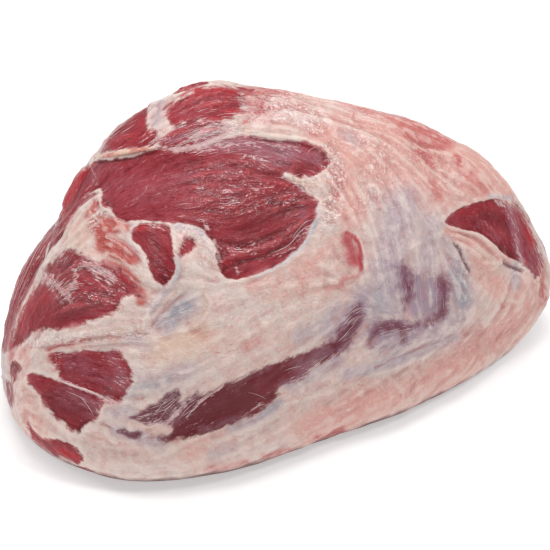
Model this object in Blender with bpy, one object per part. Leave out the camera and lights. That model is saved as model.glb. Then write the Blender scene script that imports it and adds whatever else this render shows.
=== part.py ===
"""A whole raw veal topside, the inside leg muscle with its cap, lying on its flat side.

Metres, +Z up. X runs from the blunt cut end, at -X, to the tapered end, at +X.
The front is at -Y. The origin is the middle of the box, on the surface that the meat rests on.
The form starts as a block, is rounded to a ball, drawn out along its stations, and then gets
its seams, lean windows, hollows and swellings as relief along the surface.

A place on the surface is named by its direction in the ball, in degrees: the bearing is 0 at the
tapered end, 90 at the back, 180 at the blunt end and -90 at the front, and the lift is 0 at the
level of the middle and 90 at the top.
"""

import math

import bmesh
import bpy
import numpy as np
from mathutils import noise

# Driving sizes, in metres
LENGTH = 0.316
DEPTH = 0.186
HEIGHT = 0.157

# How many faces the block has along, across and up
FACES_ALONG = 38
FACES_ACROSS = 24
FACES_UP = 20

# The stations, from the blunt end to the tapered end. Each holds its place as a share of LENGTH,
# then the front side, the back side and the crest as shares of DEPTH from the middle line, and
# the top and the widest level as shares of HEIGHT.
STATIONS = (
    (0.00, -0.36, 0.36, 0.04, 0.96, 0.22),
    (0.15, -0.46, 0.48, 0.13, 1.00, 0.16),
    (0.32, -0.45, 0.53, 0.21, 1.00, 0.12),
    (0.48, -0.42, 0.53, 0.20, 0.98, 0.11),
    (0.64, -0.40, 0.49, 0.14, 0.90, 0.11),
    (0.80, -0.38, 0.44, 0.08, 0.83, 0.12),
    (0.92, -0.36, 0.38, 0.02, 0.77, 0.14),
    (1.00, -0.33, 0.30, -0.01, 0.70, 0.16),
)

# How full each end closes and each quarter of a section is: 2 is an ellipse, more is squarer
BLUNT_END_FULLNESS = 3.0
TAPERED_END_FULLNESS = 2.6
FRONT_FULLNESS = 1.75
BACK_FULLNESS = 2.25

# The blunt end is widest at this level. Above it the end leans back by this share of the height,
# below it the end tucks in as much, and the lean fades out along the length.
END_LEVEL = 0.018
END_LEAN = 0.37
END_ROUNDING = 0.018
LEAN_FADES_AT = 0.55

# The underside is pressed flat: how far the round form would reach below the table, as a share
# of its widest level, and the radius of the rim where it leaves the table
PRESSED_SHARE = 2.6
RIM_RADIUS = 0.006

# Seams where two muscles or folds meet. Each holds its half width and its depth, then its points.
SEAMS = (
    # over the roll along the bottom of the front
    (0.017, 0.0045, ((-146, 0), (-130, 4), (-113, 8), (-92, 10), (-76, 9), (-58, 8), (-44, 2))),
    # under the lobe at the blunt end
    (0.014, 0.0030, ((-178, 3), (-162, 12), (-151, 18), (-142, 24), (-128, 29))),
    # over that lobe
    (0.012, 0.0020, ((176, 14), (-178, 20), (-166, 28), (-156, 31), (-146, 28))),
    # under the rolled lip
    (0.014, 0.0026, ((168, 37), (-178, 46), (-164, 52), (-148, 58), (-128, 66))),
    # between the two ridge muscles
    (0.012, 0.0018, ((177, 53), (168, 59), (152, 66))),
    # along the cut face of the blunt end
    (0.012, 0.0025, ((162, 27), (167, 17), (168, 8), (170, 0))),
    # behind the rim of the window at the tapered end
    (0.010, 0.0022, ((-9, 36), (-12, 26), (-17, 16), (-26, 8), (-38, 2))),
    # the folds under that window
    (0.012, 0.0022, ((-52, 34), (-50, 27), (-42, 22), (-34, 19))),
    # where the cap meets the main muscle, along the back
    (0.016, 0.0036, ((172, 12), (150, 21), (120, 25), (90, 23), (60, 17), (38, 7), (20, -2))),
    # down the shoulder of the back
    (0.014, 0.0025, ((78, 64), (64, 50), (54, 36), (44, 20))),
    # round the tip of the tapered end
    (0.012, 0.0022, ((-4, 40), (4, 26), (6, 12), (-2, 0))),
)

# Windows of lean in the fat, a little sunk. Each holds its depth, then the points of its outline.
WINDOWS = (
    # the great face of the front
    (
        0.0024,
        (
            (168, 35), (-166, 51), (-140, 63), (-118, 68), (-74, 69), (-69, 64), (-80, 60),
            (-84, 54), (-93, 48), (-104, 42), (-118, 38), (-128, 41), (-140, 43), (-156, 39),
            (-170, 33),
        ),
    ),
    # the long dark muscle over the bottom roll
    (
        0.0020,
        (
            (-142, 8), (-130, 14), (-114, 20), (-98, 25), (-80, 27), (-76, 21), (-88, 17),
            (-100, 13), (-116, 9), (-132, 5),
        ),
    ),
    # two patches low on the blunt end
    (0.0016, ((-166, 8), (-150, 16), (-143, 14), (-143, 10), (-150, 8))),
    (0.0016, ((-171, 2), (-163, 5), (-149, 7), (-149, 2), (-155, -3), (-165, -2))),
    # the small window at the tapered end
    (0.0028, ((-47, 39), (-32, 37), (-18, 32), (-22, 22), (-28, 15), (-36, 24), (-43, 33))),
    # a window high on the back
    (0.0020, ((148, 32), (124, 40), (98, 37), (92, 30), (112, 29), (140, 26))),
    # a patch low on the back
    (0.0018, ((70, 8), (52, 6), (38, -2), (60, -6), (80, 0))),
)

# Swells, and hollows with a height below 0. Each holds its radius, its height and its middle.
SWELLS = (
    # the lobe at the blunt end
    (0.036, 0.0036, (-162, 21)),
    # the muscles of the ridge
    (0.036, 0.0036, (-156, 75)),
    (0.036, 0.0036, (128, 76)),
    (0.026, 0.0036, (162, 47)),
    # the rolled lip
    (0.018, 0.0018, (-166, 57)),
    (0.016, 0.0020, (172, 44)),
    # the knob of fat beside the great face, and the narrow muscle next to it
    (0.017, 0.0032, (-133, 39)),
    (0.018, 0.0018, (-148, 35)),
    # the belly of the great face
    (0.040, 0.0020, (-112, 55)),
    # the silver hollow, and the one under the dark purple patch
    (0.020, -0.0026, (-138, 30)),
    (0.026, -0.0024, (-62, 27)),
    # a dimple in the fat above it
    (0.012, -0.0016, (-79, 45)),
    # the bottom roll
    (0.032, 0.0020, (-78, 0)),
    # the side of the tapered end
    (0.034, 0.0042, (-20, 6)),
    (0.034, 0.0042, (-4, 36)),
    # a hollow on the shoulder of the tapered end
    (0.022, -0.0022, (-22, 52)),
    # the bellies and the hollow of the back
    (0.060, 0.0040, (96, 8)),
    (0.050, 0.0030, (34, 38)),
    (0.036, -0.0026, (112, 58)),
    (0.040, 0.0030, (146, 8)),
)

# How softly the edge of a window falls, and the height over which relief grows above the table
WINDOW_EDGE = 0.007
RELIEF_GROWS_BY = 0.014

# Uneven lumps all over
LUMP_SIZE = 0.050
LUMP_HEIGHT = 0.0016
LUMP_SEED = 7.3

LEAN_COLOUR = (0.36, 0.055, 0.06, 1.0)
LEAN_ROUGHNESS = 0.38


def smooth_between(shares, values, at):
    """A smooth curve through the values at the shares, with no overshoot past its neighbours."""
    shares = np.asarray(shares, float)
    values = np.asarray(values, float)
    slopes = np.diff(values) / np.diff(shares)
    tangents = np.concatenate([slopes[:1], (slopes[:-1] + slopes[1:]) / 2, slopes[-1:]])
    turning = np.concatenate([[False], slopes[:-1] * slopes[1:] <= 0, [False]])
    tangents[turning] = 0.0
    index = np.clip(np.searchsorted(shares, at) - 1, 0, len(shares) - 2)
    width = shares[index + 1] - shares[index]
    t = (at - shares[index]) / width
    return (
        values[index] * (2 * t**3 - 3 * t**2 + 1)
        + tangents[index] * width * (t**3 - 2 * t**2 + t)
        + values[index + 1] * (3 * t**2 - 2 * t**3)
        + tangents[index + 1] * width * (t**3 - t**2)
    )


def smooth_step(value):
    """0 below 0, 1 above 1, and a soft S between."""
    t = np.clip(value, 0.0, 1.0)
    return t * t * (3.0 - 2.0 * t)


def bump(share):
    """1 in the middle, falling softly to 0 at a share of 1."""
    return np.clip(1.0 - share**2, 0.0, 1.0) ** 2


def press_flat(height, radius):
    """The height above the table, with all that would be below it pressed to 0 round a soft rim."""
    rim = (height + radius) ** 2 / (4 * radius)
    return np.where(height > radius, height, np.where(height < -radius, 0.0, rim))


def form(ball):
    """The places on the plain form of these directions on a unit ball."""
    along, across, up = ball[:, 0], ball[:, 1], ball[:, 2]
    share = (1 + along) / 2
    columns = np.array(STATIONS).T
    front, back, crest, top, widest = (
        smooth_between(columns[0], column, share) for column in columns[1:]
    )
    front, back, crest = front * DEPTH, back * DEPTH, crest * DEPTH
    top, widest = top * HEIGHT, widest * HEIGHT

    end = np.where(along < 0, BLUNT_END_FULLNESS, TAPERED_END_FULLNESS)
    fill = (1 - np.minimum(np.abs(along), 1.0) ** end) ** (1 / end)
    ring = np.maximum(np.hypot(across, up), 1e-9)
    side, rise = across / ring, up / ring
    fullness = np.where(side < 0, FRONT_FULLNESS, BACK_FULLNESS)
    # Below the widest level every quarter is an ellipse
    power = np.where(rise > 0, 2 / fullness, 1.0)
    reach = np.where(side < 0, front - crest, back - crest)
    above = top - widest
    below = widest * PRESSED_SHARE

    y = crest + fill * reach * np.abs(side) ** power
    z = widest + fill * np.where(rise > 0, above, -below) * np.abs(rise) ** power
    z = press_flat(z, RIM_RADIUS)
    lean = END_LEAN * np.hypot(z - END_LEVEL, END_ROUNDING)
    lean *= 1 - smooth_step(share / LEAN_FADES_AT)
    x = LENGTH * (share - 0.5) + lean
    return np.stack([x, y, z], axis=1)


def direction(place):
    """The unit vector of a bearing and a lift in degrees."""
    bearing, lift = (math.radians(angle) for angle in place)
    level = math.cos(lift)
    return np.array([level * math.cos(bearing), level * math.sin(bearing), math.sin(lift)])


def trace(places, closed=False, steps=12):
    """Points on the plain form along the line through these places."""
    ends = [direction(place) for place in places]
    if closed:
        ends.append(ends[0])
    line = [
        start + (stop - start) * step / steps
        for start, stop in zip(ends[:-1], ends[1:])
        for step in range(steps)
    ]
    line = np.array(line + [ends[-1]])
    return form(line / np.linalg.norm(line, axis=1, keepdims=True))


def distance_to(points, line):
    """How far each point is from the nearest point of a line."""
    apart = points[:, None, :] - line[None, :, :]
    return np.sqrt((apart**2).sum(axis=2).min(axis=1))


def inside(points, normals, outline):
    """Which points lie within a closed outline, seen along its middle normal."""
    middle = outline.mean(axis=0)
    nearest = ((points - middle) ** 2).sum(axis=1).argmin()
    facing = normals[nearest]
    flat_a = np.cross(facing, (0.0, 0.0, 1.0))
    flat_a /= np.linalg.norm(flat_a)
    flat_b = np.cross(facing, flat_a)
    px, py = (points - middle) @ flat_a, (points - middle) @ flat_b
    ox, oy = (outline - middle) @ flat_a, (outline - middle) @ flat_b
    within = np.zeros(len(points), bool)
    for i in range(len(outline)):
        j = i - 1
        crosses = (oy[i] > py) != (oy[j] > py)
        rise = oy[j] - oy[i] if oy[j] != oy[i] else 1.0
        reach = ox[i] + (py - oy[i]) * (ox[j] - ox[i]) / rise
        within ^= crosses & (px < reach)
    return within & (normals @ facing > 0.1)


def relief(points, normals):
    """How far each point of the plain form moves along its normal."""
    moved = np.zeros(len(points))
    for half_width, depth, places in SEAMS:
        moved -= depth * bump(distance_to(points, trace(places)) / half_width)
    for depth, places in WINDOWS:
        outline = trace(places, closed=True)
        away = distance_to(points, outline)
        depth_in = np.where(inside(points, normals, outline), away, -away)
        moved -= depth * smooth_step(depth_in / WINDOW_EDGE + 0.5)
    for radius, height, place in SWELLS:
        middle = form(direction(place)[None, :])
        moved += height * bump(distance_to(points, middle) / radius)
    shift = (LUMP_SEED, -LUMP_SEED, 2 * LUMP_SEED)
    lumps = np.array([noise.noise(tuple(point / LUMP_SIZE + shift)) for point in points])
    moved += LUMP_HEIGHT * lumps
    return moved * smooth_step(points[:, 2] / RELIEF_GROWS_BY)


def block():
    """A unit cube cut into FACES_ALONG by FACES_ACROSS by FACES_UP faces."""
    mesh = bmesh.new()
    bmesh.ops.create_cube(mesh, size=2.0)
    for axis, faces in enumerate((FACES_ALONG, FACES_ACROSS, FACES_UP)):
        edges = [
            edge
            for edge in mesh.edges
            if abs(edge.verts[0].co[axis] - edge.verts[1].co[axis]) > 1.0
        ]
        bmesh.ops.subdivide_edges(mesh, edges=edges, cuts=faces - 1, use_grid_fill=True)
    return mesh


def move(mesh, places):
    """Puts the vertices at these places and works out the normals again."""
    for vertex, place in zip(mesh.verts, places):
        vertex.co = place
    mesh.normal_update()


def meat_material():
    """Raw lean meat, moist."""
    material = bpy.data.materials.new("raw_veal")
    material.use_nodes = True
    shader = material.node_tree.nodes["Principled BSDF"]
    shader.inputs["Base Color"].default_value = LEAN_COLOUR
    shader.inputs["Roughness"].default_value = LEAN_ROUGHNESS
    shader.inputs["Metallic"].default_value = 0.0
    return material


def build():
    for old in list(bpy.data.objects):
        bpy.data.objects.remove(old)
    mesh = block()
    cube = np.array([vertex.co for vertex in mesh.verts])
    # A tangent spacing keeps the faces even once the cube is rounded to a ball
    spread = np.tan(cube * math.pi / 4)
    ball = spread / np.linalg.norm(spread, axis=1, keepdims=True)
    plain = form(ball)
    move(mesh, plain)
    bmesh.ops.recalc_face_normals(mesh, faces=mesh.faces)
    normals = np.array([vertex.normal for vertex in mesh.verts])
    points = plain + normals * relief(plain, normals)[:, None]
    points[:, 2] = np.maximum(points[:, 2], 0.0)
    centre = (points.max(axis=0) + points.min(axis=0)) / 2
    points[:, :2] -= centre[:2]
    move(mesh, points)

    data = bpy.data.meshes.new("veal_topside")
    mesh.to_mesh(data)
    mesh.free()
    data.shade_smooth()
    data.materials.append(meat_material())
    topside = bpy.data.objects.new("veal_topside", data)
    bpy.context.scene.collection.objects.link(topside)


build()
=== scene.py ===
# %% [markdown]
# # A raw veal topside, from a plain solid to moist meat
#
# A topside is the big inside muscle of a calf's leg. Some of its muscles are cut bare and show dark
# red, and the rest lies under pale fat and silvery skin. The solid that is loaded here already has
# the form, the seams and the large hollows. This lesson copies it, gives the copy a fine mesh,
# draws each muscle and each patch of fat on it as a field of numbers, and then uses those fields
# twice: once to move the surface, and once to colour it.

# %% Load the fixed solid
import math

import bpy
import numpy as np
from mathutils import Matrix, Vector, noise
from mathutils.bvhtree import BVHTree
from mathutils.kdtree import KDTree


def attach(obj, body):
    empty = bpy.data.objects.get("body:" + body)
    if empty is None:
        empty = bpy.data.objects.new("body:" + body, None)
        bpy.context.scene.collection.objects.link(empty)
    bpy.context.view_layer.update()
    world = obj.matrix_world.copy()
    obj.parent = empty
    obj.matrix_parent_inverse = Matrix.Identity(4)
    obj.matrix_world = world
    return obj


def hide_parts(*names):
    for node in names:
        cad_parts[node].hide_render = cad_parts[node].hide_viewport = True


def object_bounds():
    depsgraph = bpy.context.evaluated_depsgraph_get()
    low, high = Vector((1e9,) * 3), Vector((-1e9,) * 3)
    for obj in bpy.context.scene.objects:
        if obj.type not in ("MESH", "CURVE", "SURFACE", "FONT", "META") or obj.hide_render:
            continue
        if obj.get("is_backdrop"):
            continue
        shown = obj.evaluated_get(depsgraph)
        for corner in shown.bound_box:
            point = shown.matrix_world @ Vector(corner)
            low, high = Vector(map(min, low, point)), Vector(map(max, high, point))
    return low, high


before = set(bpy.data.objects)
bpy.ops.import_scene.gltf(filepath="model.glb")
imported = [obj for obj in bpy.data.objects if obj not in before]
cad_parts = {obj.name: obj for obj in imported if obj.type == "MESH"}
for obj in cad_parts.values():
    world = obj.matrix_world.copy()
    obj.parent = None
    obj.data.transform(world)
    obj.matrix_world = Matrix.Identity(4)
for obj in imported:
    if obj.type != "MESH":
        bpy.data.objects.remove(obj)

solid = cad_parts["veal_topside"]
solid_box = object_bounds()
print("the solid reaches from", *solid_box, "and has", len(solid.data.polygons), "faces")

# %% [markdown]
# ## The camera
#
# The camera comes first, because the outlines of the muscles are read from the photograph, in its
# own pixels. A long lens at just over a metre gives the calm perspective of a product picture.

# %% Place the camera
PHOTO_SIDE = 550
AZIMUTH, ELEVATION = math.radians(-23), math.radians(37)
AIM = Vector((0, 0, 0.0535))
DISTANCE = 1.1
LENS, SENSOR = 133, 36

RIGHT = Vector((math.cos(AZIMUTH), math.sin(AZIMUTH), 0))
TOWARDS = Vector((
    math.sin(AZIMUTH) * math.cos(ELEVATION),
    -math.cos(AZIMUTH) * math.cos(ELEVATION),
    math.sin(ELEVATION),
))
UP = TOWARDS.cross(RIGHT)
EYE = AIM + TOWARDS * DISTANCE

bpy.ops.object.camera_add(location=EYE, rotation=TOWARDS.to_track_quat("Z", "Y").to_euler())
camera = bpy.context.object
camera.data.lens = LENS
camera.data.sensor_width = SENSOR
camera.data.clip_end = 20
bpy.context.scene.camera = camera
print("the camera stands at", camera.location)

# %% [markdown]
# ## A fine skin over the solid
#
# The solid is a shell of loose triangles. A copy is merged, rounded by subdivision, and then given
# an even mesh by a voxel remesh, because the edges of the fat and the muscle fibres run in every
# direction and an even mesh favours none. The flat underside never shows, so it is thinned again.

# %% Copy, merge and round
MERGE_GAP = 0.00001
SKIN_STEP = 0.00134
UNDERSIDE_HEIGHT = 0.0004
KEPT_FACES = 0.78


def select_only(piece):
    """Makes this piece the active and only selected one."""
    bpy.ops.object.select_all(action="DESELECT")
    bpy.context.view_layer.objects.active = piece
    piece.select_set(True)


def finish_modifier(piece, kind, **settings):
    """Adds a modifier to the piece, sets it, and applies it at once."""
    modifier = piece.modifiers.new(kind.lower(), kind)
    for name, value in settings.items():
        setattr(modifier, name, value)
    bpy.context.view_layer.objects.active = piece
    bpy.ops.object.modifier_apply(modifier=modifier.name)


meat = bpy.data.objects.new("topside_meat", solid.data.copy())
bpy.context.scene.collection.objects.link(meat)
select_only(meat)
bpy.ops.object.mode_set(mode="EDIT")
bpy.ops.mesh.select_all(action="SELECT")
bpy.ops.mesh.remove_doubles(threshold=MERGE_GAP)
bpy.ops.mesh.tris_convert_to_quads(face_threshold=math.radians(50), shape_threshold=math.radians(60))
bpy.ops.mesh.normals_make_consistent(inside=False)
bpy.ops.object.mode_set(mode="OBJECT")
finish_modifier(meat, "SUBSURF", levels=2, render_levels=2)
finish_modifier(meat, "REMESH", mode="VOXEL", voxel_size=SKIN_STEP)
finish_modifier(meat, "SMOOTH", factor=0.5, iterations=6)
print("the skin has", len(meat.data.polygons), "faces")

# %% Thin the flat underside
under = meat.vertex_groups.new(name="under")
heights = np.array([vertex.co.z for vertex in meat.data.vertices])
under.add([int(i) for i in np.nonzero(heights < UNDERSIDE_HEIGHT)[0]], 1.0, "REPLACE")
finish_modifier(meat, "DECIMATE", ratio=KEPT_FACES, vertex_group="under", vertex_group_factor=10)
meat.vertex_groups.clear()
meat.data.shade_smooth()
print("after thinning,", len(meat.data.polygons), "faces")


# %% [markdown]
# ## Where things are, seen from each side
#
# Every feature is drawn as it is seen from one side. The front is drawn in the photograph's pixels.
# The sides that the photograph doesn't show are drawn in millimetres: across and up for the back,
# the blunt end and the tapered end, and across and away for the top. For each view the cell works
# out where every vertex of the skin lies in it, and how squarely the skin faces it.

# %% Read the skin and place it in each view
def read_skin():
    """The places and normals of the skin's vertices, as rows of numbers."""
    count = len(meat.data.vertices)
    places, normals = np.empty(count * 3), np.empty(count * 3)
    meat.data.vertices.foreach_get("co", places)
    meat.data.vertex_normals.foreach_get("vector", normals)
    return places.reshape(-1, 3), normals.reshape(-1, 3)


skin, normals = read_skin()


def seen_in_photo():
    """Pixels across and down in the photograph for each vertex, and how it faces the camera."""
    away = skin - np.array(EYE)
    depth = -(away @ np.array(TOWARDS))
    scale = LENS / SENSOR * PHOTO_SIDE / depth
    facing = -(normals * away).sum(axis=1) / np.linalg.norm(away, axis=1)
    across = PHOTO_SIDE / 2 + scale * (away @ np.array(RIGHT))
    down = PHOTO_SIDE / 2 - scale * (away @ np.array(UP))
    return across, down, facing


def seen_square(right, up):
    """Millimetres across and up for each vertex, seen square on, and how it faces the view."""
    facing = normals @ np.cross(right, up)
    return 1000 * skin @ np.array(right), 1000 * skin @ np.array(up), facing


PIXEL = 0.54  # millimetres on the meat
AXES = {
    "photo": (RIGHT, UP),
    "back": ((-1, 0, 0), (0, 0, 1)),
    "blunt": ((0, -1, 0), (0, 0, 1)),
    "tapered": ((0, 1, 0), (0, 0, 1)),
    "top": ((1, 0, 0), (0, 1, 0)),
}
SEEN = {view: seen_square(*axes) for view, axes in AXES.items() if view != "photo"}
SEEN["photo"] = seen_in_photo()
for view, (across, down, facing) in SEEN.items():
    shown = facing > 0
    print(f"{view}: {across[shown].min():.0f} to {across[shown].max():.0f} across,",
          f"{down[shown].min():.0f} to {down[shown].max():.0f} up or down")


# %% [markdown]
# ## Curves, areas and lines
#
# A feature could be painted as a picture, but a picture has one sharpness and gets no sharper near
# by. So each feature is a few points with a smooth curve through them, and every vertex measures
# its own distance to that curve in millimetres. An outline gives a depth, and a line gives a gap.

# %% Curves, areas and lines
def curve(points, closed=False, steps=4):
    """A smooth curve through the points."""
    points = np.array(points, float)
    if closed:
        points = np.vstack([points[-1], points, points[:2]])
    else:
        points = np.vstack([2 * points[0] - points[1], points, 2 * points[-1] - points[-2]])
    parts = []
    for before, start, stop, after in zip(points[:-3], points[1:-2], points[2:-1], points[3:]):
        for t in np.arange(steps) / steps:
            parts.append(0.5 * (
                2 * start + (stop - before) * t
                + (2 * before - 5 * start + 4 * stop - after) * t**2
                + (3 * start - before - 3 * stop + after) * t**3
            ))
    parts.append(points[-2])
    return np.array(parts)


def to_line(across, down, line):
    """The distance from each point to a line of short pieces, and how far along the line it is."""
    start, step = line[:-1], np.diff(line, axis=0)
    length = np.maximum((step**2).sum(axis=1), 1e-9)
    dx, dy = across[:, None] - start[:, 0], down[:, None] - start[:, 1]
    t = np.clip((dx * step[:, 0] + dy * step[:, 1]) / length, 0, 1)
    gap = np.hypot(dx - t * step[:, 0], dy - t * step[:, 1])
    nearest = gap.argmin(axis=1)
    rows = np.arange(len(across))
    along = (nearest + t[rows, nearest]) / len(step)
    return gap[rows, nearest], along


def within(across, down, line):
    """Which points lie inside a closed line."""
    inside = np.zeros(len(across), bool)
    for (ax, ay), (bx, by) in zip(line[:-1], line[1:]):
        if ay != by:
            crosses = (ay > down) != (by > down)
            inside ^= crosses & (across < ax + (down - ay) * (bx - ax) / (by - ay))
    return inside


FAR = 30.0  # millimetres, further than any stroke reaches
SLOPE, TURN = 40, 60  # millimetres lost while the skin turns from face on to edge on
HIDDEN_FROM, DRAWN_FROM = 0.03, 0.12  # how much the skin faces the camera, or its own view
shown_in_photo = SEEN["photo"][2]


def close_by(view, line, reach):
    """Which vertices lie near a line in that view, on the side that faces it."""
    across, down, facing = SEEN[view]
    low, high = line.min(axis=0) - reach, line.max(axis=0) + reach
    return (
        (facing > 0.0) & (across > low[0]) & (across < high[0])
        & (down > low[1]) & (down < high[1])
    )


def out_of_sight(near):
    """How far round the edge of the photograph a vertex lies, in about millimetres."""
    return (HIDDEN_FROM - shown_in_photo[near]) * TURN


def area(outline, view="photo"):
    """Millimetres inside an outline, and below 0 outside it, for every vertex."""
    scale = PIXEL if view == "photo" else 1.0
    line = curve(outline, closed=True)
    near = close_by(view, line, FAR / scale)
    across, down, facing = (values[near] for values in SEEN[view])
    gap, _ = to_line(across, down, line)
    depth = np.full(len(skin), -FAR)
    signed = np.where(within(across, down, line), gap, -gap) * scale
    depth[near] = np.minimum(signed, facing * SLOPE)
    if view != "photo":
        depth[near] = np.minimum(depth[near], out_of_sight(near))
    return depth


def line_to(points, view="photo"):
    """Millimetres from a line, and how far along it, for every vertex."""
    scale = PIXEL if view == "photo" else 1.0
    line = curve(points)
    near = close_by(view, line, FAR / scale)
    across, down, facing = (values[near] for values in SEEN[view])
    gap, along = np.full(len(skin), FAR), np.zeros(len(skin))
    gap[near], along[near] = to_line(across, down, line)
    gap[near] *= scale
    if view != "photo":
        gap[near] += np.clip(-out_of_sight(near), 0, FAR)
        gap[near] += TURN * np.clip(DRAWN_FROM - facing, 0, 1)
    return gap, along


def soft(value, low, high):
    """0 below low, 1 above high, and a soft S between."""
    t = np.clip((value - low) / (high - low), 0, 1)
    return t * t * (3 - 2 * t)


def stroke(points, width, view="photo", taper=0.15):
    """1 along a line, fading to 0 at its width in millimetres and thin towards its ends."""
    gap, along = line_to(points, view)
    thick = width * np.minimum(1, 0.25 + np.minimum(along, 1 - along) / taper)
    return np.exp(-((gap / thick) ** 2) * 2)


def painted(strokes):
    """The strongest of several soft strokes at each vertex: points, width, strength and view."""
    result = np.zeros(len(skin))
    for points, width, strength, *view in strokes:
        gap, _ = line_to(points, *view)
        result = np.maximum(result, strength * np.exp(-((gap / width) ** 2)))
    return result


print("a curve through three points is drawn with", len(curve([(0, 0), (1, 1), (2, 0)])), "points")

# %% [markdown]
# ## The bare muscles
#
# Where the fat and skin are cut away the lean shows. Each bare muscle is one outline with a
# softness in millimetres: the knife leaves a crisp edge, and torn skin leaves a ragged one. The
# depth inside each outline is divided by its softness, so that one noise can fray them all.

# %% Outlines of the bare lean
BARE = [
    # the great face
    ([(90, 163), (97, 160), (110, 160), (125, 158), (140, 154), (155, 149), (178, 151), (200, 146),
      (225, 138), (252, 136), (270, 139), (289, 141), (309, 144), (320, 149), (328, 156), (332, 162),
      (326, 169), (318, 174), (308, 178), (298, 177), (285, 172), (287, 178), (296, 182), (304, 187),
      (308, 193), (316, 197), (317, 211), (313, 223), (308, 234), (300, 246), (290, 256), (279, 264),
      (266, 270), (250, 276), (231, 280), (223, 275), (218, 264), (216, 250), (211, 239), (203, 231),
      (191, 225), (171, 223), (145, 221), (122, 221), (116, 218), (111, 211), (102, 204), (102, 193),
      (98, 189), (88, 195), (80, 200), (70, 208), (62, 214), (58, 206), (66, 190), (78, 175)], 0.55),
    # the muscle on the ridge and the strip between it and the great face
    ([(156, 149), (159, 141), (164, 135), (172, 128), (168, 121), (166, 112), (160, 108), (172, 101),
      (186, 94), (200, 89), (220, 86), (240, 86), (251, 88), (253, 93), (246, 98), (251, 103),
      (242, 107), (245, 112), (235, 114), (233, 119), (225, 121), (231, 127), (227, 134), (214, 141),
      (196, 149), (176, 153)], 1.7),
    # the corner of the ridge
    ([(149, 104), (148, 116), (147, 128), (156, 130), (158, 138), (150, 146), (138, 148), (118, 150),
      (102, 153), (98, 150), (108, 136), (118, 122), (128, 114), (140, 106)], 1.1),
    # the strip along the top edge
    ([(146, 102), (160, 93), (176, 87), (192, 83), (208, 80), (207, 85), (190, 89), (172, 94),
      (158, 101)], 0.45),
    # the streaked strip down the left
    ([(100, 192), (88, 200), (76, 212), (66, 226), (58, 240), (48, 252), (40, 266), (32, 284),
      (22, 303), (14, 328), (9, 348), (2, 352), (0, 330), (10, 296), (26, 254), (40, 226), (58, 204),
      (76, 196)], 1.0),
    # the left lobe
    ([(47, 265), (55, 259), (63, 253), (71, 250), (79, 252), (86, 258), (95, 262), (108, 262),
      (117, 267), (125, 274), (134, 281), (139, 288), (143, 300), (133, 296), (124, 299), (119, 304),
      (118, 311), (107, 316), (96, 320), (86, 324), (72, 327), (58, 330), (44, 330), (32, 334),
      (24, 341), (16, 348), (8, 351), (10, 337), (15, 322), (26, 301), (34, 290), (42, 279)], 1.3),
    # the long red muscle and the spot beside it
    ([(137, 226), (146, 223), (158, 224), (169, 226), (171, 240), (173, 253), (175, 266), (172, 278),
      (164, 287), (156, 283), (151, 274), (148, 263), (145, 254), (140, 247), (133, 241),
      (133, 233)], 0.7),
    ([(184, 240), (190, 237), (196, 239), (197, 245), (192, 250), (187, 253), (182, 257), (178, 254),
      (180, 248)], 1.4),
    # the two patches at the lower left, and the one at the foot
    ([(49, 356), (57, 352), (66, 353), (76, 352), (90, 350), (104, 350), (116, 350), (124, 357),
      (131, 370), (132, 382), (127, 393), (119, 403), (110, 404), (103, 401), (94, 397), (82, 392),
      (70, 386), (59, 380), (58, 371), (51, 364)], 1.3),
    ([(30, 375), (38, 373), (48, 377), (57, 380), (70, 383), (84, 388), (96, 394), (104, 400),
      (100, 410), (97, 420), (90, 421), (83, 427), (79, 433), (70, 429), (61, 422), (52, 415),
      (45, 407), (38, 396), (31, 387)], 0.8),
    ([(27, 422), (33, 429), (40, 437), (50, 439), (60, 440), (70, 444), (78, 450), (84, 458), (78, 463),
      (68, 461), (57, 457), (46, 451), (38, 445), (31, 435)], 0.8),
    # the window at the tapered end, and the strip beyond its pale vein
    ([(445, 223), (451, 214), (461, 208), (474, 203), (488, 200), (500, 200), (509, 207), (514, 220),
      (517, 235), (521, 250), (521, 260), (510, 258), (500, 250), (492, 243), (481, 234),
      (463, 229)], 0.35),
    ([(503, 202), (516, 206), (526, 216), (533, 230), (539, 248), (541, 266), (537, 280), (531, 270),
      (523, 264), (514, 254), (510, 236), (505, 218)], 1.6),
    # small spots down the left edge
    ([(9, 364), (14, 361), (20, 364), (23, 369), (18, 374), (17, 380), (12, 384), (9, 375)], 0.8),
    ([(7, 381), (12, 384), (14, 396), (12, 408), (8, 402)], 1.2),
    ([(66, 467), (74, 465), (84, 467), (94, 471), (88, 475), (76, 473)], 0.9),
]
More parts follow.
